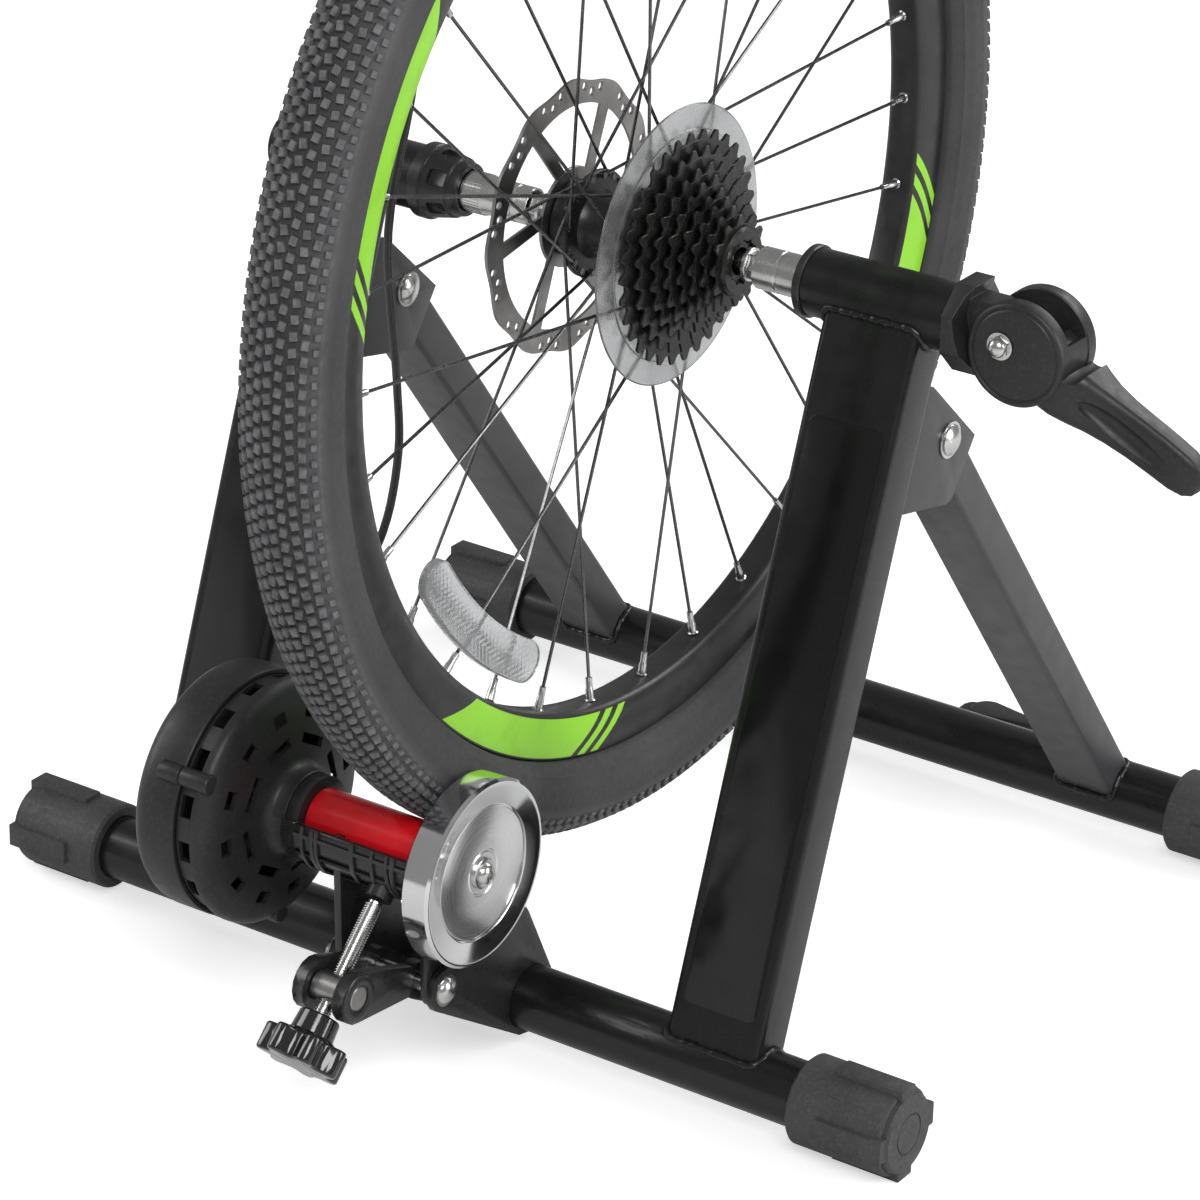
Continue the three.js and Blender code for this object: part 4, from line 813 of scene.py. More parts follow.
class TRAINER_OT_studio(bpy.types.Operator):
    """Pale floor, soft lamps and the camera at the photograph's angle"""

    bl_idname = "trainer.studio"
    bl_label = "Studio"

    def execute(self, context):
        make_finishes()
        deselect()
        bpy.ops.mesh.primitive_plane_add(size=FLOOR_WIDTH, location=(0, 0, FLOOR_LEVEL))
        floor = context.object
        floor.name = "studio_floor"
        material = bpy.data.materials.new("pale floor")
        material.use_nodes = True
        shader = material.node_tree.nodes["Principled BSDF"]
        shader.inputs["Base Color"].default_value = (FLOOR_TONE, FLOOR_TONE, FLOOR_TONE, 1)
        shader.inputs["Roughness"].default_value = 0.85
        shader.inputs["Specular IOR Level"].default_value = 0.1
        shader.inputs["Emission Color"].default_value = (1, 1, 1, 1)
        seen_as_white(material, shader.inputs["Emission Strength"], FLOOR_GLOW)
        floor.data.materials.append(material)

        world = bpy.data.worlds.new("studio")
        world.use_nodes = True
        context.scene.world = world
        background = world.node_tree.nodes["Background"]
        background.inputs["Color"].default_value = (1, 1, 1, 1)
        path = world.node_tree.nodes.new("ShaderNodeLightPath")
        level = world.node_tree.nodes.new("ShaderNodeMapRange")
        level.inputs["To Min"].default_value = WORLD_LIGHT
        level.inputs["To Max"].default_value = 1.0
        world.node_tree.links.new(path.outputs["Is Camera Ray"], level.inputs["Value"])
        world.node_tree.links.new(level.outputs[0], background.inputs["Strength"])

        for name, place, aim, width, height, power in LAMPS:
            softbox(name, place, (0, 0, aim), width, height, power)

        deselect()
        bpy.ops.object.camera_add()
        camera = context.object
        camera.name = "photo_camera"
        camera.matrix_world = camera_place()
        camera.data.lens = CAMERA_LENS
        camera.data.sensor_width = SENSOR_WIDTH
        camera.data.clip_end = VIEW_REACH
        context.scene.camera = camera
        context.scene.view_settings.view_transform = "Standard"
        return {"FINISHED"}


# Route of the remote's cable in millimetres, the same as in the part's source: x from the wheel's
# centre plane, y and z from the frame's origin
CABLE_ROUTE = [
    (-128, -144.5, 196.4), (-127, -133, 205.6), (-120, -111, 228), (-110, -96, 262), (-104, -90, 310),
    (-100, -97, 356), (-101, -104, 446), (-102, -80, 526), (-108, -62, 585), (-132, -38, 635),
    (-178, -12, 648), (-222, 10, 600), (-238, 26, 520), (-241, 30, 436), (-245, 44, 380),
    (-243, 100, 292), (-241, 190, 176), (-241, 268, 88), (-238, 318, 36), (-222, 338, 6),
    (-180, 346, 2.8), (-110, 344, 2.8), (-40, 348, 2.8), (6, 346, 4.8), (20, 346, 5),
]
CABLE_DIAMETER = 5.0
CABLE_REFINE = 6


def centripetal(points, parts):
    """A smooth line through the points, with parts pieces in each span."""
    rows = [Vector(p) for p in points]
    rows = [2 * rows[0] - rows[1], *rows, 2 * rows[-1] - rows[-2]]
    line = []
    for four in zip(rows, rows[1:], rows[2:], rows[3:]):
        knots = [0.0]
        for start, end in zip(four, four[1:]):
            knots.append(knots[-1] + math.sqrt((end - start).length))
        for i in range(parts):
            t = knots[1] + (knots[2] - knots[1]) * i / parts
            level = list(four)
            for reach in (1, 2):
                level = [
                    (a * (knots[j + reach] - t) + b * (t - knots[j])) / (knots[j + reach] - knots[j])
                    for j, (a, b) in enumerate(zip(level, level[1:]))
                ]
            line.append((level[0] * (knots[2] - t) + level[1] * (t - knots[1])) / (knots[2] - knots[1]))
    line.append(rows[-2])
    return line


class TRAINER_OT_cable(bpy.types.Operator):
    """Cable from the roller unit, and the remote on its end"""

    bl_idname = "trainer.cable"
    bl_label = "Cable and remote"

    def execute(self, context):
        route = centripetal(CABLE_ROUTE, CABLE_REFINE)
        line = [Vector((p.x + HUB.x / MM, p.y, p.z)) * MM for p in route]
        curve = bpy.data.curves.new("remote_cable_jacket", "CURVE")
        curve.dimensions = "3D"
        curve.bevel_depth = CABLE_DIAMETER * MM / 2
        curve.bevel_resolution = WIRE_ROUNDNESS
        curve.use_fill_caps = True
        spline = curve.splines.new("POLY")
        spline.points.add(len(line) - 1)
        for point, place in zip(spline.points, line):
            point.co = (*place, 1.0)
        cable = bpy.data.objects.new("remote_cable_jacket", curve)
        context.collection.objects.link(cable)
        curve.materials.append(FINISH["cable"])
        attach(cable, "frame")
        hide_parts("remote_cable")

        body = refined("remote_body", 2.0, 3)
        finish_piece(body, "remote_housing", IN_FRAME, "frame", "plastic", "remote_body")
        lever = refined("remote_thumb_lever", 1.0, 3)
        finish_piece(
            lever, "remote_lever_moulding", IN_FRAME, "remote_lever", "smooth plastic",
            "remote_thumb_lever")
        return {"FINISHED"}


# Stand

TUBE_HALF = 296.7
TUBE_WALL = 1.6
FOOT_MOUTH = 243.0
FOOT_LENGTH = 64.0
FOOT_RADIUS = 26.0
FOOT_LUG = 28.0
FOOT_LUG_START = 20.0
FOOT_LUG_ROOT = 20.0
FOOT_LUG_HALF = 7.0
FOOT_LUGS = 4
SEAM_HALF = 0.25
SEAM_HEIGHT = 0.12
POST_HALF_WIDTH = 30.0
POST_HALF_DEPTH = 15.0
POST_CORNER = 4.0
STRUT_HALF_WIDTH = 19.0
STRUT_HALF_DEPTH = 12.5
STRUT_CORNER = 3.0
STRUT_ABOVE_PIVOT = 17.0
COPE_DEPTH = 11.8
PANEL_MIDDLE = -234.0
PANEL_CORNER = 5.0
PANEL_RAISE = 0.3
PANEL_BEDDING = 0.2
POST_LENGTH = (HUB - REAR).length / MM
STRUT_LENGTH = math.hypot(PIVOT.y - FRONT.y, PIVOT.z - FRONT.z) / MM


def pipe(low, high, outer, inner, edge=0.5):
    """Section of a tube with its outer edges broken."""
    return [
        (low, inner),
        (low, outer - edge),
        (low + edge, outer),
        (high - edge, outer),
        (high, outer - edge),
        (high, inner),
        (low, inner),
    ]


def walked(outline, step):
    """Points along a closed outline, no further apart than a step."""
    line = []
    for (u0, v0), (u1, v1) in zip(outline, [*outline[1:], outline[0]]):
        parts = max(1, math.ceil(math.hypot(u1 - u0, v1 - v0) / step))
        for i in range(parts):
            line.append((u0 + (u1 - u0) * i / parts, v0 + (v1 - v0) * i / parts))
    return line


def weld(half_width, half_depth, corner, centre, way):
    """Rippled bead where a box section meets a round tube that crosses it."""
    outline = walked(rounded(half_width + 1, half_depth + 1, corner + 1, steps=2), 2.2)
    width = sizes().weld_width / MM / 2
    points = [(u, v, centre + way * math.sqrt(max(1.0, TUBE_RADIUS**2 - v * v))) for u, v in outline]
    ripples = [0.16 * math.sin(2.1 * i) + 0.1 * math.sin(0.7 * i) for i in range(len(points))]
    return bead(points, [width * (1 + ripple) for ripple in ripples])


class TRAINER_OT_base_tubes(bpy.types.Operator):
    """Round base tubes, rear and front"""

    bl_idname = "trainer.base_tubes"
    bl_label = "Base tubes"

    def execute(self, context):
        for side, place, body in (("rear", REAR, "frame"), ("front", FRONT, "front_frame")):
            tube = turned(pipe(-TUBE_HALF, TUBE_HALF, TUBE_RADIUS, TUBE_RADIUS - TUBE_WALL))
            finish_piece(tube, f"{side}_tube", placed(place), body, "paint", f"{side}_base_tube")
        return {"FINISHED"}


class TRAINER_OT_feet(bpy.types.Operator):
    """Rubber end caps with four flat lugs and a raised round end, without lettering"""

    bl_idname = "trainer.feet"
    bl_label = "Feet"

    def execute(self, context):
        end = FOOT_LENGTH
        cap = turned([
            (0, TUBE_RADIUS + 0.4), (0, 24.4), (1.6, FOOT_RADIUS), (end - 7, FOOT_RADIUS),
            (end - 4.6, 25.2), (end - 4, 24.2), (end - 4, 23.2), (end - 1.4, 23), (end, 21.6),
            (end, 12.4), (end - 0.7, 12.1), (end - 0.7, 11.3), (end, 11), (end, 0), (end - 10, 0),
            (end - 10, TUBE_RADIUS + 0.4), (0, TUBE_RADIUS + 0.4),
        ])
        lug = block(
            (FOOT_LUG_START, -FOOT_LUG_HALF, FOOT_LUG_ROOT), (end - 1.2, FOOT_LUG_HALF, FOOT_LUG))
        soften(lug, 0.8, 2)
        cap = joined([cap, ring_of(lug, FOOT_LUGS)])
        seam = block(
            (2, -SEAM_HALF, FOOT_RADIUS - 0.4), (end - 8, SEAM_HALF, FOOT_RADIUS + SEAM_HEIGHT))
        cap = joined([cap, ring_of(seam, FOOT_LUGS, start=TURN / FOOT_LUGS / 2)])
        for side, centre, body in (("rear", REAR, "frame"), ("front", FRONT, "front_frame")):
            for hand, turn in (("right", 0.0), ("left", math.pi)):
                mouth = Matrix.Translation((FOOT_MOUTH, 0, 0))
                foot = copied(cap, Matrix.Rotation(turn, 4, "Z") @ mouth)
                finish_piece(
                    foot, f"{side}_{hand}_cap", placed(centre), body, "rubber",
                    f"{side}_{hand}_foot")
        removed(cap)
        return {"FINISHED"}


class TRAINER_OT_uprights(bpy.types.Operator):
    """Box-section uprights with welds, and a bare raised panel on each"""

    bl_idname = "trainer.uprights"
    bl_label = "Uprights"

    def execute(self, context):
        for hand, x in SIDES.items():
            place = placed((x, HUB.y, HUB.z), UPRIGHT_LEAN)
            outline = rounded(POST_HALF_WIDTH, POST_HALF_DEPTH, POST_CORNER)
            post = plate(outline, COPE_DEPTH - POST_LENGTH, -COPE_DEPTH, "Z")
            finish_piece(post, f"{hand}_post", place, "frame", "paint", f"{hand}_upright")
            half_length = sizes().panel_length / MM / 2
            half_width = sizes().panel_width / MM / 2
            shape = rounded(half_width, half_length, PANEL_CORNER, centre=(0, PANEL_MIDDLE))
            panel = plate(
                shape, -POST_HALF_DEPTH - PANEL_RAISE, -POST_HALF_DEPTH + PANEL_BEDDING, "Y")
            soften(panel, 0.15, 2)
            finish_piece(panel, f"{hand}_panel", place, "frame", "panel")
            beads = joined([
                weld(POST_HALF_WIDTH, POST_HALF_DEPTH, POST_CORNER, 0.0, -1),
                weld(POST_HALF_WIDTH, POST_HALF_DEPTH, POST_CORNER, -POST_LENGTH, 1),
            ])
            finish_piece(beads, f"{hand}_post_welds", place, "frame", "paint")
        return {"FINISHED"}


GUSSET_HALF = 22.5
BOLT_RADIUS = 5.0


def domed_bolt(half, shank, head=9.0, nut=8.0):
    """Bolt along X with a low dome, a washer and a hexagon nut."""
    start = half + 0.3
    bolt = turned([
        (-start - 7, 0), (-start - 7, shank - 0.8), (-start - 6.2, shank), (start, shank),
        (start, head + 1.6), (start + 0.9, head + 1.6), (start + 0.9, head),
        (start + 2.0, head - 0.3), (start + 3.6, head * 0.72), (start + 4.7, head * 0.36),
        (start + 5, 0),
    ], SMALL_STEPS)
    hexagon = rod(nut, -start - 5.6, -start, sides=6)
    soften(hexagon, 0.7, 2)
    return joined([bolt, hexagon])


class TRAINER_OT_struts(bpy.types.Operator):
    """Folding struts, the gussets that hold them and their pivot bolts"""

    bl_idname = "trainer.struts"
    bl_label = "Struts and gussets"

    def execute(self, context):
        for hand, x in SIDES.items():
            pivot = Vector((x, PIVOT.y, PIVOT.z))
            outline = rounded(STRUT_HALF_WIDTH, STRUT_HALF_DEPTH, STRUT_CORNER)
            strut = plate(outline, COPE_DEPTH - STRUT_LENGTH, STRUT_ABOVE_PIVOT, "Z")
            beads = weld(STRUT_HALF_WIDTH, STRUT_HALF_DEPTH, STRUT_CORNER, -STRUT_LENGTH, 1)
            place = placed(pivot, STRUT_LEAN)
            finish_piece(strut, f"{hand}_leg", place, "front_frame", "paint with painted light", f"{hand}_strut")
            finish_piece(beads, f"{hand}_leg_weld", place, "front_frame", "paint")
            gusset = refined(f"{hand}_gusset", 1.1, 3)
            finish_piece(
                gusset, f"{hand}_pivot_bracket", IN_FRAME, "frame", "paint with painted light", f"{hand}_gusset")
            bolt = domed_bolt(GUSSET_HALF, BOLT_RADIUS)
            finish_piece(
                bolt, f"{hand}_carriage_bolt", placed(pivot), "frame", "zinc", f"{hand}_pivot_bolt")
        return {"FINISHED"}


# Axle clamps, along X from the wheel's centre
CLAMP_BORE = 17.0
RIGHT_TUBE_ENDS = (112.0, 210.0)
LEFT_TUBE_ENDS = (-252.0, -143.0)


class TRAINER_OT_clamp_tubes(bpy.types.Operator):
    """Tubes at axle height, with the bush of the right one"""

    bl_idname = "trainer.clamp_tubes"
    bl_label = "Clamp tubes"

    def execute(self, context):
        right = turned(pipe(*RIGHT_TUBE_ENDS, TUBE_RADIUS, CLAMP_BORE))
        finish_piece(right, "right_tube", WHEEL_PLACE, "frame", "paint", "right_clamp_tube")
        bush = turned([
            (130, 12.4), (107.6, 12.4), (107, 13), (107, 19.3), (107.9, 20.4), (111.2, 20.4), (112, 19.6),
            (112, 16.9), (130, 16.9), (130, 12.4),
        ])
        finish_piece(bush, "right_tube_bush", WHEEL_PLACE, "frame", "smooth plastic")
        left = turned(pipe(*LEFT_TUBE_ENDS, TUBE_RADIUS, CLAMP_BORE))
        finish_piece(left, "left_tube", WHEEL_PLACE, "frame", "paint", "left_clamp_tube")
        plug = turned([
            (-253, 0), (-253, 17.4), (-252.2, 18.4), (-251.6, 18.4), (-251.6, 16.8), (-244, 16.8),
            (-244, 0),
        ])
        finish_piece(plug, "left_tube_plug", WHEEL_PLACE, "frame", "smooth plastic")
        return {"FINISHED"}


CAM_DISC_RADIUS = 29.0
CAM_DISC_INNER = 9.5
CAM_DISC_OUTER = 19.5
CAM_DISC_CENTRE = 9.0
# Closed web between the lever's discs, from the disc's centre
WEB_RADII = (24.5, 28.4)
WEB_DEGREES = (-75, 45)
WEB_LAP = 0.4
# Thumb notch under the handle, and the long scoop on each of its sides
NOTCH_RADIUS = 8.6
NOTCH_PLACE = (37.5, 14.0)
NOTCH_REACH = 30.0
SCOOP_PLACE = (84.0, 12.6, -0.6)
SCOOP_HALVES = (34.0, 7.2, 7.4)


def lofted(outline, stations):
    """An outline in the YZ plane carried along X; each station is (x, y share, z share, z)."""
    x, wide, high, z = stations[0]
    chain([(x, u * wide, v * high + z) for u, v in [*outline, outline[0]]])
    bpy.ops.mesh.remove_doubles(threshold=MERGE_DISTANCE)
    bpy.ops.mesh.edge_face_add()
    for last, station in zip(stations, stations[1:]):
        step = (station[0] - last[0], 0, station[3] - last[3])
        bpy.ops.mesh.extrude_region_move(TRANSFORM_OT_translate={"value": step})
        bpy.ops.transform.resize(
            value=(1, station[1] / last[1], station[2] / last[2]),
            center_override=(station[0], 0, station[3]),
        )
    tidy_mesh()
    return leave_edit()


class TRAINER_OT_cam_clamp(bpy.types.Operator):
    """Quick clamp on the right: push pin, housing, cam lever and its bolt"""

    bl_idname = "trainer.cam_clamp"
    bl_label = "Cam clamp"

    def execute(self, context):
        pin = turned([
            (82, 0), (82, 9.4), (76.5, 9.4), (76, 9.9), (76, 11.3), (76.7, 12), (90, 12), (90.5, 11.5),
            (92, 11.5), (92.5, 12), (167, 12), (168, 11), (168, 0),
        ])
        finish_piece(pin, "push_pin_turned", WHEEL_PLACE, "push_pin", "zinc", "push_pin")
        housing = refined("cam_housing", 2.2, 4)
        finish_piece(housing, "cam_housing_moulding", IN_FRAME, "frame", "plastic", "cam_housing")

        disc = turned([
            (CAM_DISC_INNER, 0), (CAM_DISC_INNER, 28.2), (10.3, CAM_DISC_RADIUS), (17.4, CAM_DISC_RADIUS),
            (18.6, 28.4), (19.2, 27.2), (19.2, 26.4), (18.6, 25.9), (18.6, 25.3), (19.3, 24.6),
            (CAM_DISC_OUTER, 23.6), (CAM_DISC_OUTER, 0),
        ], axis="Y")
        disc.data.transform(Matrix.Translation((CAM_DISC_CENTRE, 0, 0)))
        other = copied(disc, Matrix.Rotation(math.pi, 4, "X"))
        outline = rounded(1.0, 1.0, 0.42, steps=6)
        handle = lofted(outline, [
            (19.0, 18.6, 17.0, 0.0), (30.0, 18.8, 17.5, -1.0), (40.0, 17.0, 17.0, -1.8),
            (50.0, 13.6, 15.6, -2.2), (60.0, 10.6, 14.2, -1.8), (72.0, 8.8, 13.2, -1.0),
            (86.0, 8.0, 12.6, 0.0), (100.0, 7.7, 12.3, 0.6), (114.0, 7.4, 11.8, 0.8),
            (122.0, 6.4, 10.2, 0.8), (126.4, 4.6, 7.2, 0.8), (128.0, 2.2, 3.4, 0.8),
        ])
        notch = rod(NOTCH_RADIUS, -NOTCH_REACH, NOTCH_REACH, "Y", NOTCH_PLACE, 40)
        handle = cut(handle, notch)
        for way in (1, -1):
            deselect()
            bpy.ops.mesh.primitive_uv_sphere_add(segments=32, ring_count=16, location=(0, 0, 0))
            scoop = bpy.context.object
            along, aside, below = SCOOP_PLACE
            scoop.data.transform(
                Matrix.Translation((along, way * aside, below)) @ Matrix.Diagonal((*SCOOP_HALVES, 1)))
            handle = cut(handle, scoop)
        soften(handle, 0.5, 2, math.radians(45))
        web_half = CAM_DISC_INNER + WEB_LAP
        web = plate(sector(*WEB_RADII, *WEB_DEGREES), -web_half, web_half, "Y")
        web.data.transform(Matrix.Translation((CAM_DISC_CENTRE, 0, 0)))
        lever = joined([handle, disc, other, web])
        finish_piece(lever, "cam_lever_moulding", CAM_PLACE, "cam_lever", "plastic", "cam_lever")

        nut = rod(6.5, 19.8, 23.4, "Y", sides=6)
        soften(nut, 0.6, 2)
        far_nut = copied(nut, Matrix.Rotation(math.pi, 4, "X"))
        dome = turned([
            (-20, 0), (-20, 7.6), (-20.9, 7.6), (-21, 5.4), (-23.4, 5.4), (-25.2, 4.6),
            (-26.6, 2.8), (-27.1, 0),
        ], SMALL_STEPS, "Y")
        shank = rod(4, -22, 23.8, "Y")
        bolt = joined([nut, far_nut, dome, shank])
        finish_piece(bolt, "cam_bolt_domed", CAM_BOLT_PLACE, "frame", "zinc", "cam_bolt")
        return {"FINISHED"}


COLLAR_WINDOWS = 6
KNURL_RIBS = 40


class TRAINER_OT_left_clamp(bpy.types.Operator):
    """Adjusting side of the clamp: knurled cup screw and its lock collar"""

    bl_idname = "trainer.left_clamp"
    bl_label = "Left clamp"

    def execute(self, context):
        collar = turned([
            (-150.7, 19.4), (-150.7, 21.3), (-150, 22), (-143.6, 22), (-142.9, 21.4), (-142.4, 20.6),
            (-127.2, 17.6), (-126.3, 16.4), (-121.4, 15.5), (-120.7, 14.8), (-120.7, 12.4), (-142.7, 12.4),
            (-142.7, 19.4), (-150.7, 19.4),
        ])
        window = block((-138.6, -4.6, 16.6), (-127.8, 4.6, 24))
        soften(window, 1.2, 2)
        collar = cut(collar, ring_of(window, COLLAR_WINDOWS))
        finish_piece(
            collar, "lock_collar_moulding", WHEEL_PLACE, "lock_collar", "smooth plastic",
            "lock_collar")
        screw = turned([
            (-82, 0), (-82, 9.4), (-76.5, 9.4), (-76, 9.9), (-76, 10.4), (-76.6, 11), (-84, 11),
            (-84.5, 10.4), (-86, 10.4), (-86.5, 11), (-104, 11), (-106.4, 11.7), (-120.4, 11.7),
            (-120.4, 6), (-199.6, 6), (-200.4, 5.2), (-200.4, 0),
        ])
        rib = block((-119.6, -0.35, 11.2), (-107.2, 0.35, 12))
        screw = joined([screw, ring_of(rib, KNURL_RIBS)])
        finish_piece(
            screw, "adjusting_screw_knurled", WHEEL_PLACE, "adjusting_screw", "zinc",
            "adjusting_screw")
        return {"FINISHED"}


# Roller unit
BRACKET_HALF = 36.0
UNIT_BOLT_HEAD = 7.6
UNIT_BOLT_NUT = 7.4


class TRAINER_OT_unit_bracket(bpy.types.Operator):
    """Welded bracket and fork that carry the roller unit, with their bolt"""

    bl_idname = "trainer.unit_bracket"
    bl_label = "Unit bracket and yoke"

    def execute(self, context):
        bracket = refined("unit_bracket", 1.1, 3)
        finish_piece(
            bracket, "unit_bracket_plate", IN_FRAME, "frame", "smooth plastic", "unit_bracket",
            slot="black_paint")
        yoke = refined("fork_yoke", 1.6, 3)
        finish_piece(yoke, "fork_yoke_moulding", IN_FRAME, "frame", "smooth plastic", "fork_yoke")
        ring = turned([
            (16.4, 8.2), (16.4, 14), (17.4, 14), (18, 13.2), (18, 9.4), (17.6, 8.2), (16.4, 8.2),
        ])
        rings = joined([copied(ring, Matrix.Rotation(math.pi, 4, "Z")), ring])
        finish_piece(rings, "fork_yoke_ears", placed(TRUNNION), "frame", "smooth plastic")
        bolt = domed_bolt(BRACKET_HALF, BOLT_RADIUS, UNIT_BOLT_HEAD, UNIT_BOLT_NUT)
        finish_piece(bolt, "unit_bolt_domed", UNIT_BOLT_PLACE, "frame", "zinc", "unit_pivot_bolt")
        return {"FINISHED"}


ROD_RADIUS = 5.0
ROD_LOW = -38.0
ROD_HIGH = 54.0
THREAD_PITCH = 1.5
THREAD_DEPTH = 0.75
KNOB_LOBES = 7
KNOB_MEAN_RADIUS = 21.6
KNOB_LOBE_HEIGHT = 3.4
KNOB_LOBE_POWER = 0.6
KNOB_STEPS_A_LOBE = 12


def thread(radius, low, high, pitch, depth):
    """Helical thread along Z: one groove's section carried round by a Screw modifier."""
    crest_start, crest_end = pitch * 0.45, pitch * 0.55
    root = radius - depth
    chain([(root, 0, 0), (radius, 0, crest_start), (radius, 0, crest_end), (root, 0, pitch)])
    piece = leave_edit()
    turns = int((high - low) / pitch) - 1
    apply_modifier(
        piece, "SCREW", axis="Z", angle=TURN, screw_offset=pitch, iterations=turns, steps=20,
        render_steps=20, use_merge_vertices=True, merge_threshold=MERGE_DISTANCE)
    piece.data.transform(Matrix.Translation((0, 0, low)))
    return piece


class TRAINER_OT_tension_screw(bpy.types.Operator):
    """Trunnion, threaded rod and star knob that press the roller to the tyre"""

    bl_idname = "trainer.tension_screw"
    bl_label = "Tension screw"

    def execute(self, context):
        pin = turned([
            (-17.4, 0), (-17.4, 6.5), (-16.9, 7), (-9.8, 7), (-9.6, 8.4), (-9, 9), (9, 9),
            (9.6, 8.4), (9.8, 7), (16.9, 7), (17.4, 6.5), (17.4, 0),
        ], 48)
        finish_piece(pin, "trunnion_turned", placed(TRUNNION), "trunnion", "steel", "trunnion_pin")
        core = turned([
            (ROD_LOW, 0), (ROD_LOW, 4.3), (ROD_HIGH - 1, 4.3), (ROD_HIGH, 3.4), (ROD_HIGH, 0),
        ], 24, "Z")
        helix = thread(ROD_RADIUS, ROD_LOW, ROD_HIGH - 1, THREAD_PITCH, THREAD_DEPTH)
        screw = joined([core, helix])
        finish_piece(
            screw, "tension_rod_threaded", SCREW_PLACE, "tension_rod", "zinc", "tension_rod")
        outline = []
        steps = KNOB_LOBES * KNOB_STEPS_A_LOBE
        for i in range(steps):
            angle = TURN * i / steps
            wave = math.cos(KNOB_LOBES * angle)
            swell = math.copysign(abs(wave) ** KNOB_LOBE_POWER, wave)
            radius = KNOB_MEAN_RADIUS + KNOB_LOBE_HEIGHT * swell
            outline.append((radius * math.cos(angle), radius * math.sin(angle)))
        star = plate(outline, -46.0, -30.0, "Z")
        soften(star, 1.6, 3, math.radians(60))
        neck = turned([
            (-31, 0), (-31, 16.5), (-30.2, 17.2), (-29, 15.6), (-27.4, 12.6), (-17, 11.8),
            (-16, 10.8), (-16, 5.4), (-17.4, 5.2), (-17.4, 0),
        ], 48, "Z")
        knob = joined([star, neck])
        finish_piece(knob, "star_knob", SCREW_PLACE, "tension_knob", "knob", "tension_knob")
        return {"FINISHED"}


CRADLE_LOW = -72.3
CRADLE_HIGH = 27.3
CRADLE_RADIUS = 27.0
CRADLE_BORE = 22.0
CRADLE_TILT = math.radians(-15)
CRADLE_END = 9.0
HOOP_PLACES = (-57, -47, -9, 1)
HOOP_HALF = 1.3
HOOP_HEIGHT = 1.9
RAIL_DEGREES = (176, 200, 224, 262, 300, 334)
RAIL_HALF = 1.1
RAIL_HEIGHT = 1.6
CUT_REACH = 40.0
FAR = 200.0


class TRAINER_OT_roller(bpy.types.Operator):
    """Ribbed cradle, red roller, and chromed flywheel with its bolt"""

    bl_idname = "trainer.roller"
    bl_label = "Roller and flywheel"

    def execute(self, context):
        base = refined("roller_cradle", 0.8, 2)
        low, high = CRADLE_LOW + CRADLE_END, CRADLE_HIGH - CRADLE_END
        clear = block((low, -CUT_REACH, 0), (high, CUT_REACH, CUT_REACH))
        clear.data.transform(Matrix.Rotation(CRADLE_TILT, 4, "X"))
        clear.data.transform(IN_FRAME.inverted() @ UNIT_PLACE)
        base = cut(base, clear)
        skin = turned(pipe(low, high, CRADLE_RADIUS + 0.1, CRADLE_BORE + 2))
        hoop_top, root = CRADLE_RADIUS + HOOP_HEIGHT, CRADLE_RADIUS - 1
        hoops = [turned(pipe(x - HOOP_HALF, x + HOOP_HALF, hoop_top, root)) for x in HOOP_PLACES]
        rail = block((low + 1, -RAIL_HALF, root), (high - 1, RAIL_HALF, CRADLE_RADIUS + RAIL_HEIGHT))
        rails = [
            copied(rail, Matrix.Rotation(math.radians(angle - 90), 4, "X")) for angle in RAIL_DEGREES
        ]
        removed(rail)
        above = block((-FAR, -FAR / 2, 0), (FAR, FAR / 2, FAR / 2))
        above.data.transform(Matrix.Rotation(CRADLE_TILT, 4, "X"))
        halves = [cut(piece, copied(above, Matrix.Identity(4))) for piece in (skin, *hoops)]
        removed(above)
        ribs = joined([*halves, *rails])
        soften(ribs, 0.4, 2, math.radians(50))
        ribs.data.transform(UNIT_PLACE)
        base.data.transform(IN_FRAME)
        cradle = joined([base, ribs])
        finish_piece(
            cradle, "roller_cradle_moulding", Matrix.Identity(4), "resistance_unit",
            "smooth plastic", "roller_cradle")

        sleeve = turned([
            (-64, 6), (-64, 16.2), (-63.2, 17), (18.2, 17), (19, 16.2), (19, 6), (-64, 6),
        ], 96)
        finish_piece(sleeve, "roller_sleeve", UNIT_PLACE, "roller", "roller", "roller")

        wheel = turned([
            (29.6, 6), (29.6, 52.4), (31.2, 54), (46, 54), (47.6, 52.4), (47.6, 50.6), (47.2, 49.8),
            (46.4, 40), (46, 39.4), (44.6, 39.2), (44.6, 6), (29.6, 6),
        ], 128)
        finish_piece(wheel, "flywheel_rim", UNIT_PLACE, "roller", "chrome", "flywheel")
        face = turned([
            (44.4, 0), (44.4, 38.6), (45.2, 38.2), (45.5, 37.4), (45.5, 14), (45, 13.4), (45, 12.6),
            (45.5, 12), (45.5, 0),
        ], 128)
        finish_piece(face, "flywheel_face", UNIT_PLACE, "roller", "chrome face")
        bolt = turned([
            (45.5, 0), (45.5, 9), (46.7, 9), (47, 8.6), (47, 6.4), (48.4, 6.2), (50, 5), (51, 3.2),
            (51.4, 0),
        ], 48)
        socket = rod(2.7, 49.2, 53, sides=6)
        bolt = cut(bolt, socket)
        finish_piece(bolt, "flywheel_bolt_domed", UNIT_PLACE, "roller", "zinc", "flywheel_bolt")
        return {"FINISHED"}


FAN_RADIUS = 72.0
FAN_WINDOWS = 16
FAN_VENTS = 12
FAN_SLOTS = 8
FAN_RIBS = 12
LUG_ANGLES = (30, 150, 270)
LUG_RADIUS = 5.8
LUG_CIRCLE = 70.6


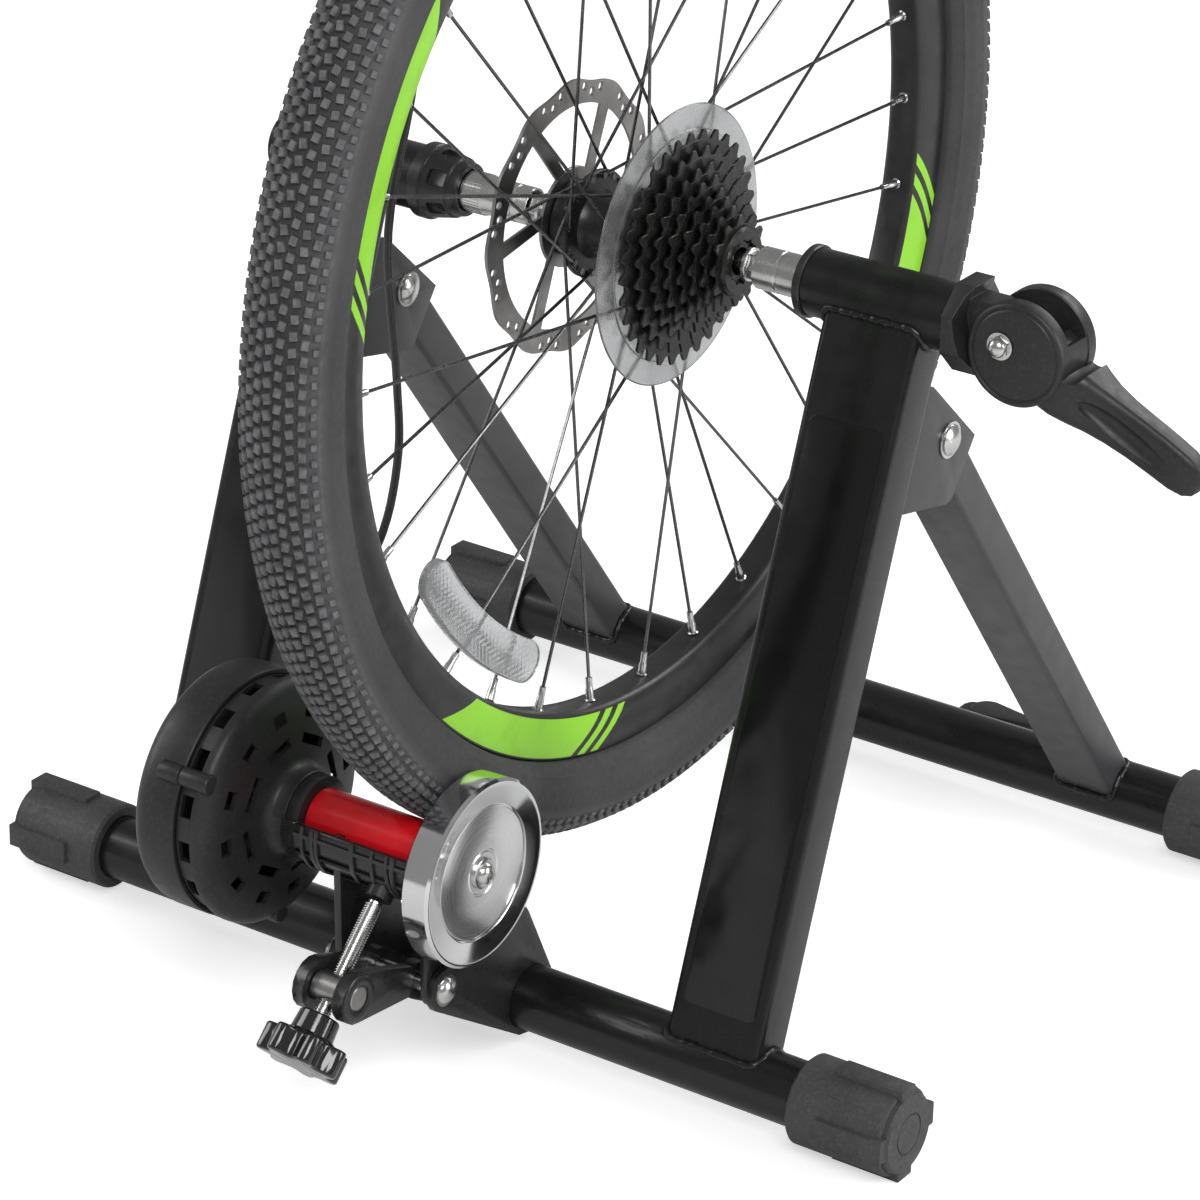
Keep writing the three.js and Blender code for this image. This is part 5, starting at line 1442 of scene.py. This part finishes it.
class TRAINER_OT_fan(bpy.types.Operator):
    """Vented housing of the magnetic brake, in two shells"""

    bl_idname = "trainer.fan"
    bl_label = "Fan housing"

    def execute(self, context):
        outer = turned([
            (-144, 0), (-144, 24), (-143.2, 25), (-143.2, 56), (-144, 57), (-143.6, 61.5),
            (-142.4, 65.6), (-140, 69.2), (-136.6, 71.4), (-133, FAN_RADIUS), (-113, FAN_RADIUS),
            (-112, 71.4), (-112, 69.4), (-134, 69.4), (-138.4, 67), (-141.1, 61.6), (-141.1, 0),
        ], 120)
        rib = block((-144, -1, 26), (-142.8, 1, 56))
        outer = joined([outer, ring_of(rib, FAN_RIBS)])
        lugs = [self.lug(angle, -127, -112.2) for angle in LUG_ANGLES]
        outer = joined([outer, *lugs])
        finish_piece(
            outer, "fan_outer_moulding", UNIT_PLACE, "resistance_unit", "plastic", "fan_shell_outer")

        inner = turned([
            (-111.7, 66), (-111.7, 69), (-101.4, 69), (-100.9, 71), (-100, FAN_RADIUS), (-97, 71.8),
            (-94.4, 70.2), (-92, 66.4), (-89.6, 59), (-87.6, 50), (-86, 41), (-84.8, 34),
            (-84, 29.6), (-83.2, 27.6), (-81.6, 25.4), (-79.6, 24.2), (-73.2, 24), (-72.6, 23.4),
            (-72.6, 18.6), (-80, 18.6), (-86.6, 27), (-88.8, 40), (-92, 56), (-95.4, 64), (-99, 66),
            (-111.7, 66),
        ], 120)
        window = block((-110, -6.4, 60), (-102.6, 6.4, 76))
        inner = cut(inner, ring_of(window, FAN_WINDOWS, start=TURN / FAN_WINDOWS / 4))
        vent = block((-104, -5.2, 50.4), (-80, 5.2, 57.6))
        inner = cut(inner, ring_of(vent, FAN_VENTS, start=0.1))
        slot = block((-104, -10, 35.6), (-80, 10, 41.4))
        inner = cut(inner, ring_of(slot, FAN_SLOTS, start=0.25))
        inner = joined([inner, *[self.lug(angle, -111.8, -92.4) for angle in LUG_ANGLES]])
        finish_piece(
            inner, "fan_inner_moulding", UNIT_PLACE, "resistance_unit", "plastic", "fan_shell_inner",
            smooth=math.radians(30))
        gland = refined("cable_gland", 0.6, 2)
        finish_piece(
            gland, "cable_gland_moulding", IN_FRAME, "resistance_unit", "smooth plastic",
            "cable_gland")
        keep_node("rotor_disc", "alloy")
        keep_node("magnet_carrier", "alloy")
        keep_node("roller_shaft", "steel")
        return {"FINISHED"}

    def lug(self, angle, low, high):
        turn = math.radians(angle)
        across = (LUG_CIRCLE * math.cos(turn), LUG_CIRCLE * math.sin(turn))
        return soften(rod(LUG_RADIUS, low, high, across=across, sides=24), 1.2, 3)


def keep_node(node, finish):
    """A CAD node that stays gets a finish of its own."""
    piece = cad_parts[node]
    piece.data.materials.clear()
    piece.data.materials.append(FINISH[finish])


# Wheel
CASING_HALF_WIDTH = 26.0
CASING_HALF_HEIGHT = 24.4
CASING_WALL = 3.0
# Raised lines on the side walls, in degrees round the section from the crown
WALL_LINES = {68: 0.5, 84: 0.35, 104: 0.4, 120: 0.6}
# Each row of blocks on one half of the tread: degrees from the crown, degrees that a block is turned,
# its length and width, and where its two blocks stand in a pitch
TREAD_ROWS = [
    (6.5, 14, 6.2, 4.8, (0.0, 0.5)),
    (19.5, -12, 5.8, 4.8, (0.25, 0.75)),
    (33, 8, 5.6, 5.0, (0.0, 0.5)),
    (46.5, -6, 6.0, 5.0, (0.25, 0.75)),
    (60, 0, 4.4, 4.0, (0.02, 0.5)),
]
FLUSH_ROWS_FROM = 50
LEFT_HALF_SHARE = 0.13
BLOCK_BEDDING = 0.8


def casing_radius(angle):
    """Distance of the tyre's casing from its section's middle, a little wider than it is high."""
    return 1 / math.hypot(
        math.sin(angle) / CASING_HALF_WIDTH, math.cos(angle) / CASING_HALF_HEIGHT)


def casing_line(first, last, step, change):
    """The casing's section between two angles in degrees, changed in radius at each."""
    line = []
    for degrees in range(first, last, step):
        angle = math.radians(degrees)
        reach = casing_radius(angle) + change(degrees)
        line.append((reach * math.sin(angle), TYRE_CENTRE + reach * math.cos(angle)))
    return line


def tread_block(length, width, height):
    """A block that narrows to its top, on the casing's crown."""
    piece = block((-width / 2, -length / 2, -BLOCK_BEDDING), (width / 2, length / 2, height))
    only(piece)
    bpy.ops.object.mode_set(mode="EDIT")
    bpy.ops.mesh.select_all(action="DESELECT")
    leave_edit()
    for polygon in piece.data.polygons:
        polygon.select = polygon.normal.z > 0.5
    bpy.ops.object.mode_set(mode="EDIT")
    bpy.ops.mesh.select_mode(type="FACE")
    bpy.ops.transform.resize(value=(0.74, 0.8, 1))
    bpy.ops.mesh.select_mode(type="VERT")
    leave_edit()
    return piece


class TRAINER_OT_tyre(bpy.types.Operator):
    """Knobbed tyre without lettering, and the tube inside it"""

    bl_idname = "trainer.tyre"
    bl_label = "Tyre"

    def execute(self, context):
        outside = casing_line(-140, 141, 4, lambda degrees: WALL_LINES.get(abs(degrees), 0))
        inside = casing_line(128, -129, -8, lambda degrees: -CASING_WALL)
        foot = [(10.4, 298.6), (10.4, 288.4), (8, 288.4), (8, 301)]
        mirrored = [(-x, radius) for x, radius in reversed(foot)]
        carcass = turned([*outside, *foot, *inside, *mirrored, outside[0]], 180)
        pitches = sizes().tread_pitches
        blocks = []
        for degrees, yaw, length, width, starts in TREAD_ROWS:
            casing = casing_radius(math.radians(degrees))
            height = sizes().knob_height / MM
            if degrees > FLUSH_ROWS_FROM:
                height = TYRE_SECTION - casing
            for side, shift in ((1, 0.0), (-1, LEFT_HALF_SHARE)):
                for start in starts:
                    piece = tread_block(length, width, height)
                    piece.data.transform(
                        Matrix.Rotation((start + shift) * TURN / pitches, 4, "X")
                        @ Matrix.Translation((0, 0, TYRE_CENTRE))
                        @ Matrix.Rotation(side * math.radians(degrees), 4, "Y")
                        @ Matrix.Translation((0, 0, casing))
                        @ Matrix.Rotation(side * math.radians(yaw), 4, "Z"))
                    blocks.append(piece)
        tread = ring_of(joined(blocks), pitches)
        tyre = joined([carcass, tread])
        finish_piece(tyre, "tyre_with_tread", WHEEL_PLACE, "wheel", "tyre", "tyre")
        keep_node("inner_tube", "rubber")
        return {"FINISHED"}


NIPPLE_IN_RIM = 12.4
SPOKE_IN_RIM = 1.4
SPOKE_HEAD_RADIUS = 1.9
SPOKE_HEAD_HALF = 1.4
SPOKE_HEAD_SPACING = 2.6


def on_wheel(x, radius, angle):
    return Vector((x, radius * math.cos(angle), radius * math.sin(angle)))


def turn_along(way):
    """Turns the Z axis along a way."""
    return way.to_track_quat("Z", "Y").to_matrix().to_4x4()


class TRAINER_OT_rim_and_spokes(bpy.types.Operator):
    """Rim with generic bands, crossed dark spokes and their nipples"""

    bl_idname = "trainer.rim_and_spokes"
    bl_label = "Rim and spokes"

    def execute(self, context):
        half = [
            (7, 275), (10.9, 286), (11.3, 297.2), (12.4, 298), (13.3, 297.6), (13.5, 296.9), (13.5, 290),
            (13.2, 284), (12.2, 278.6), (10.8, 274.6), (9.2, 272.6), (7.4, 272),
        ]
        section = [*[(-x, radius) for x, radius in reversed(half)], *half, (-half[-1][0], half[-1][1])]
        rim = turned(section, 180)
        finish_piece(rim, "rim_banded", WHEEL_PLACE, "wheel", "rim", "rim")
        wire = rod(sizes().spoke_width / MM / 2, 0, 1, "Z", sides=8)
        head = rod(SPOKE_HEAD_RADIUS, -SPOKE_HEAD_HALF, SPOKE_HEAD_HALF, "X", sides=10)
        nipple = turned([
            (0, 0), (0, 1.9), (6, 1.9), (7, 2.3), (12.6, 2.5), (13.4, 3.3), (13.4, 0),
        ], 12, "Z")
        seat = Matrix.Translation((0, 0, -NIPPLE_IN_RIM))
        for hand, flange, first in (("right", RIGHT_FLANGE, 0), ("left", LEFT_FLANGE, 1)):
            wires, nipples = [], []
            for i in range(SPOKES_A_SIDE):
                side = 1 if i % 2 == 0 else -1
                angle = FIRST_SPOKE + SPOKE_STEP * (first + 2 * i)
                start = on_wheel(flange + side * FLANGE_OFFSET, SPOKE_CIRCLE, angle + side * SPOKE_LEAN)
                end = on_wheel(0, RIM_INNER - SPOKE_IN_RIM, angle)
                turn = turn_along(end - start)
                length = Matrix.Diagonal((1, 1, (end - start).length, 1))
                back = Vector((side * SPOKE_HEAD_SPACING, 0, 0))
                wires.append(copied(wire, Matrix.Translation(start) @ turn @ length))
                wires.append(copied(head, Matrix.Translation(start - back)))
                wires.append(copied(head, Matrix.Translation(start)))
                nipples.append(copied(nipple, Matrix.Translation(end) @ turn @ seat))
            finish_piece(
                joined(wires), f"spoke_wires_{hand}", WHEEL_PLACE, "wheel", "spoke",
                f"spokes_{hand}")
            finish_piece(
                joined(nipples), f"nipples_{hand}", WHEEL_PLACE, "wheel", "zinc", slot="spoke_steel")
        for template in (wire, head, nipple):
            removed(template)
        prism = refined("reflector", 1.4, 3)
        finish_piece(prism, "reflector_moulding", IN_FRAME, "wheel", "prism", "reflector")
        return {"FINISHED"}


class TRAINER_OT_hub(bpy.types.Operator):
    """Hub with drilled flanges, axle nuts and the clear spoke guard"""

    bl_idname = "trainer.hub"
    bl_label = "Hub and axle"

    def execute(self, context):
        hub = turned([
            (-51, 5.4), (-51, 21.2), (-50.2, 22), (-43, 22), (-42, 21), (-42, 18.4), (-38.5, 18),
            (-36.75, 19.6), (-36.75, 30.4), (-36.2, 31), (-33.8, 31), (-33.25, 30.4), (-33.25, 20),
            (-29, 17.2), (10, 17), (14.75, 20), (14.75, 30.4), (15.3, 31), (17.7, 31),
            (18.25, 30.4), (18.25, 20), (22.2, 17), (22.2, 5.4), (-51, 5.4),
        ], 96)
        hole = rod(1.5, -40, 22, sides=8, across=(0, SPOKE_CIRCLE))
        hub = cut(hub, ring_of(hole, 2 * SPOKES_A_SIDE, start=FIRST_SPOKE))
        finish_piece(hub, "hub_shell_turned", WHEEL_PLACE, "wheel", "alloy", "hub_shell")
        shaft = turned([
            (-79.5, 0), (-79.5, 4.3), (-78.8, 5), (-52, 5), (-52, 9), (-60, 9), (-62, 7.6),
            (-64, 5), (64, 5), (78.8, 5), (79.5, 4.3), (79.5, 0),
        ], 48)
        nut = rod(8.5, 70, 78.6, sides=6)
        soften(nut, 0.8, 3)
        washer = turned(pipe(67.5, 70, 9.6, 5.2, 0.3), 48)
        pair = joined([nut, washer])
        axle = joined([shaft, copied(pair, Matrix.Rotation(math.pi, 4, "Z")), pair])
        finish_piece(axle, "axle_with_nuts", WHEEL_PLACE, "frame", "zinc", "axle")
        guard = turned([
            (22.7, 17.5), (24.2, 17.5), (22.2, 62), (22.7, 63), (22.4, 65.4), (21.7, 66),
            (21.2, 79.3), (20.4, 80), (19.7, 79.3), (20.2, 66), (20.7, 62), (22.7, 17.5),
        ], 128)
        finish_piece(guard, "spoke_guard_disc", WHEEL_PLACE, "wheel", "clear", "spoke_guard")
        return {"FINISHED"}


DISC_LOW = -53.3
DISC_HIGH = -51.3
DISC_RADIUS = 80.0
DISC_BAND = 15.0
DISC_WAVE = 2.6
DISC_WAVES = 12
DISC_ARMS = 6
DISC_STEPS = 144
# Each hole of a group: degrees from the group's middle, and distance from the axle
DISC_HOLES = ((-6.2, 74.6), (0.0, 71.2), (6.2, 74.6))
DISC_HOLE_RADIUS = 2.5
ARM_START = 21.0
ARM_BEND = 24.0
ARM_TURN = math.radians(22)
SPIDER_RADIUS = 29.0
DISC_BORE = 9.6
DISC_BOLTS = 6
DISC_BOLT_CIRCLE = 22.0
CUT_THROUGH = 5.0


class TRAINER_OT_brake_disc(bpy.types.Operator):
    """Waved and drilled brake disc with its arms and bolts"""

    bl_idname = "trainer.brake_disc"
    bl_label = "Brake disc"

    def execute(self, context):
        outline = []
        for i in range(DISC_STEPS):
            angle = TURN * i / DISC_STEPS
            radius = DISC_RADIUS - DISC_WAVE / 2 + DISC_WAVE / 2 * math.cos(DISC_WAVES * angle)
            outline.append((radius * math.cos(angle), radius * math.sin(angle)))
        disc = plate(outline, DISC_LOW, DISC_HIGH)
        low, high = DISC_LOW - CUT_THROUGH, DISC_HIGH + CUT_THROUGH
        bore = rod(DISC_RADIUS - DISC_BAND, low, high, sides=96)
        disc = cut(disc, bore)
        group = []
        for offset, radius in DISC_HOLES:
            angle = math.pi / 2 + math.radians(offset)
            place = (radius * math.cos(angle), radius * math.sin(angle))
            group.append(rod(DISC_HOLE_RADIUS, low, high, across=place, sides=14))
        disc = cut(disc, ring_of(joined(group), DISC_WAVES, start=TURN / DISC_WAVES / 2))
        arm = plate([(-3.6, -1), (3.6, -1), (4.4, 48), (-4.4, 48)], DISC_LOW + 0.1, DISC_HIGH - 0.1)
        arm.data.transform(
            Matrix.Translation((0, 0, ARM_BEND))
            @ Matrix.Rotation(ARM_TURN, 4, "X")
            @ Matrix.Translation((0, 0, ARM_START - ARM_BEND)))
        arms = ring_of(arm, DISC_ARMS, start=0.3)
        spider = turned(pipe(DISC_LOW, DISC_HIGH, SPIDER_RADIUS, DISC_BORE, 0.4), 72)
        disc = joined([disc, arms, spider])
        soften(disc, 0.25, 1, math.radians(60))
        finish_piece(disc, "brake_disc_drilled", WHEEL_PLACE, "wheel", "disc steel", "brake_disc")
        bolt = turned([
            (DISC_LOW - 2.2, 0), (DISC_LOW - 2.2, 3.4), (DISC_LOW - 1.6, 4.2), (DISC_LOW, 4.4),
            (DISC_LOW, 0),
        ], 20)
        bolt.data.transform(Matrix.Translation((0, 0, DISC_BOLT_CIRCLE)))
        finish_piece(
            ring_of(bolt, DISC_BOLTS, start=0.1), "brake_disc_bolts", WHEEL_PLACE, "wheel", "alloy",
            slot="bare_steel")
        return {"FINISHED"}


TEETH = (32, 28, 24, 21, 18, 16, 14, 12)
FIRST_SPROCKET = 26.0
SPROCKET_STEP = 4.7
CHAIN_PITCH = 12.7
SPROCKET_WIDTH = 2.0
ROOT_DEPTH = 3.6
FREEHUB_SEAT = 17.2
SLOTTED_FROM_TEETH = 21
SPROCKET_SLOTS = 8
LOCK_RING_NOTCHES = 12


class TRAINER_OT_cassette(bpy.types.Operator):
    """Eight toothed sprockets on the freehub, with the lock ring"""

    bl_idname = "trainer.cassette"
    bl_label = "Cassette"

    def execute(self, context):
        for i, teeth in enumerate(TEETH):
            low = FIRST_SPROCKET + SPROCKET_STEP * i
            high = low + SPROCKET_WIDTH
            pitch = CHAIN_PITCH / (2 * math.sin(math.pi / teeth))
            root = pitch - ROOT_DEPTH
            disc = turned(pipe(low, high, root + 0.2, FREEHUB_SEAT, 0.2), 96)
            if teeth >= SLOTTED_FROM_TEETH:
                slot_circle = (root + 18) / 2 + 2
                half = min(4.6, (root - 20) / 3)
                shape = rounded(half + 0.09 * slot_circle, half, half - 0.2, centre=(0, slot_circle))
                slot = plate(shape, low - 3, high + 3)
                disc = cut(disc, ring_of(slot, SPROCKET_SLOTS, start=0.2 * i))
            tooth = plate(self.tooth_outline(root, pitch, math.pi / teeth), low + 0.1, high - 0.1)
            soften(tooth, 0.3, 1, math.radians(70))
            ring = ring_of(tooth, teeth, start=0.07 * i)
            finish_piece(
                joined([disc, ring]), f"sprocket_{teeth}_teeth", WHEEL_PLACE, "cassette", "sprocket",
                f"sprocket_{teeth}")
        body = turned([
            (24.3, 8), (24.3, 17), (60.4, 17), (60.4, 20), (62.8, 20), (64, 18.6), (64, 12), (61.6, 11.4),
            (61.6, 8), (24.3, 8),
        ], 72)
        notch = block((60, -1.1, 10.6), (66, 1.1, 13))
        body = cut(body, ring_of(notch, LOCK_RING_NOTCHES))
        finish_piece(
            body, "freehub_with_lock_ring", WHEEL_PLACE, "cassette", "sprocket", "freehub_body",
            slot="bare_steel")
        return {"FINISHED"}

    def tooth_outline(self, root, pitch, half):
        """One tooth's outline; each place is a share of half the angle that a tooth takes."""
        rising = [
            (-0.9, root - 0.6), (-0.7, root + 0.6), (-0.52, pitch - 1.4), (-0.36, pitch + 0.6),
            (-0.2, pitch + 2),
        ]
        falling = [(-share, radius) for share, radius in reversed(rising)]
        return [
            (radius * math.sin(share * half), radius * math.cos(share * half))
            for share, radius in rising + falling
        ]


PIECE_OPERATORS = [
    TRAINER_OT_base_tubes,
    TRAINER_OT_feet,
    TRAINER_OT_uprights,
    TRAINER_OT_struts,
    TRAINER_OT_clamp_tubes,
    TRAINER_OT_cam_clamp,
    TRAINER_OT_left_clamp,
    TRAINER_OT_unit_bracket,
    TRAINER_OT_tension_screw,
    TRAINER_OT_roller,
    TRAINER_OT_fan,
    TRAINER_OT_tyre,
    TRAINER_OT_rim_and_spokes,
    TRAINER_OT_hub,
    TRAINER_OT_brake_disc,
    TRAINER_OT_cassette,
]
STAGE_OPERATORS = [TRAINER_OT_studio, TRAINER_OT_cable]


class TRAINER_PT_panel(bpy.types.Panel):
    """Lists the trainer's sizes, colours and pieces"""

    bl_label = "Wheel on turbo trainer"
    bl_idname = "TRAINER_PT_panel"
    bl_space_type = "VIEW_3D"
    bl_region_type = "UI"
    bl_category = "Trainer"

    def draw(self, context):
        layout = self.layout
        for group in (context.scene.trainer_sizes, context.scene.trainer_colours):
            for name in group.bl_rna.properties.keys():
                if name not in ("rna_type", "name"):
                    layout.prop(group, name)
        for operator in STAGE_OPERATORS + PIECE_OPERATORS:
            layout.operator(operator.bl_idname)


CLASSES = [TrainerSizes, TrainerColours, *STAGE_OPERATORS, *PIECE_OPERATORS, TRAINER_PT_panel]


def register():
    for entry in CLASSES:
        bpy.utils.register_class(entry)
    bpy.types.Scene.trainer_sizes = bpy.props.PointerProperty(type=TrainerSizes)
    bpy.types.Scene.trainer_colours = bpy.props.PointerProperty(type=TrainerColours)


def unregister():
    del bpy.types.Scene.trainer_colours
    del bpy.types.Scene.trainer_sizes
    for entry in reversed(CLASSES):
        bpy.utils.unregister_class(entry)


def main():
    register()
    for operator in STAGE_OPERATORS + PIECE_OPERATORS:
        group, name = operator.bl_idname.split(".")
        getattr(getattr(bpy.ops, group), name)()
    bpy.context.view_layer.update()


if __name__ == "__main__":
    main()
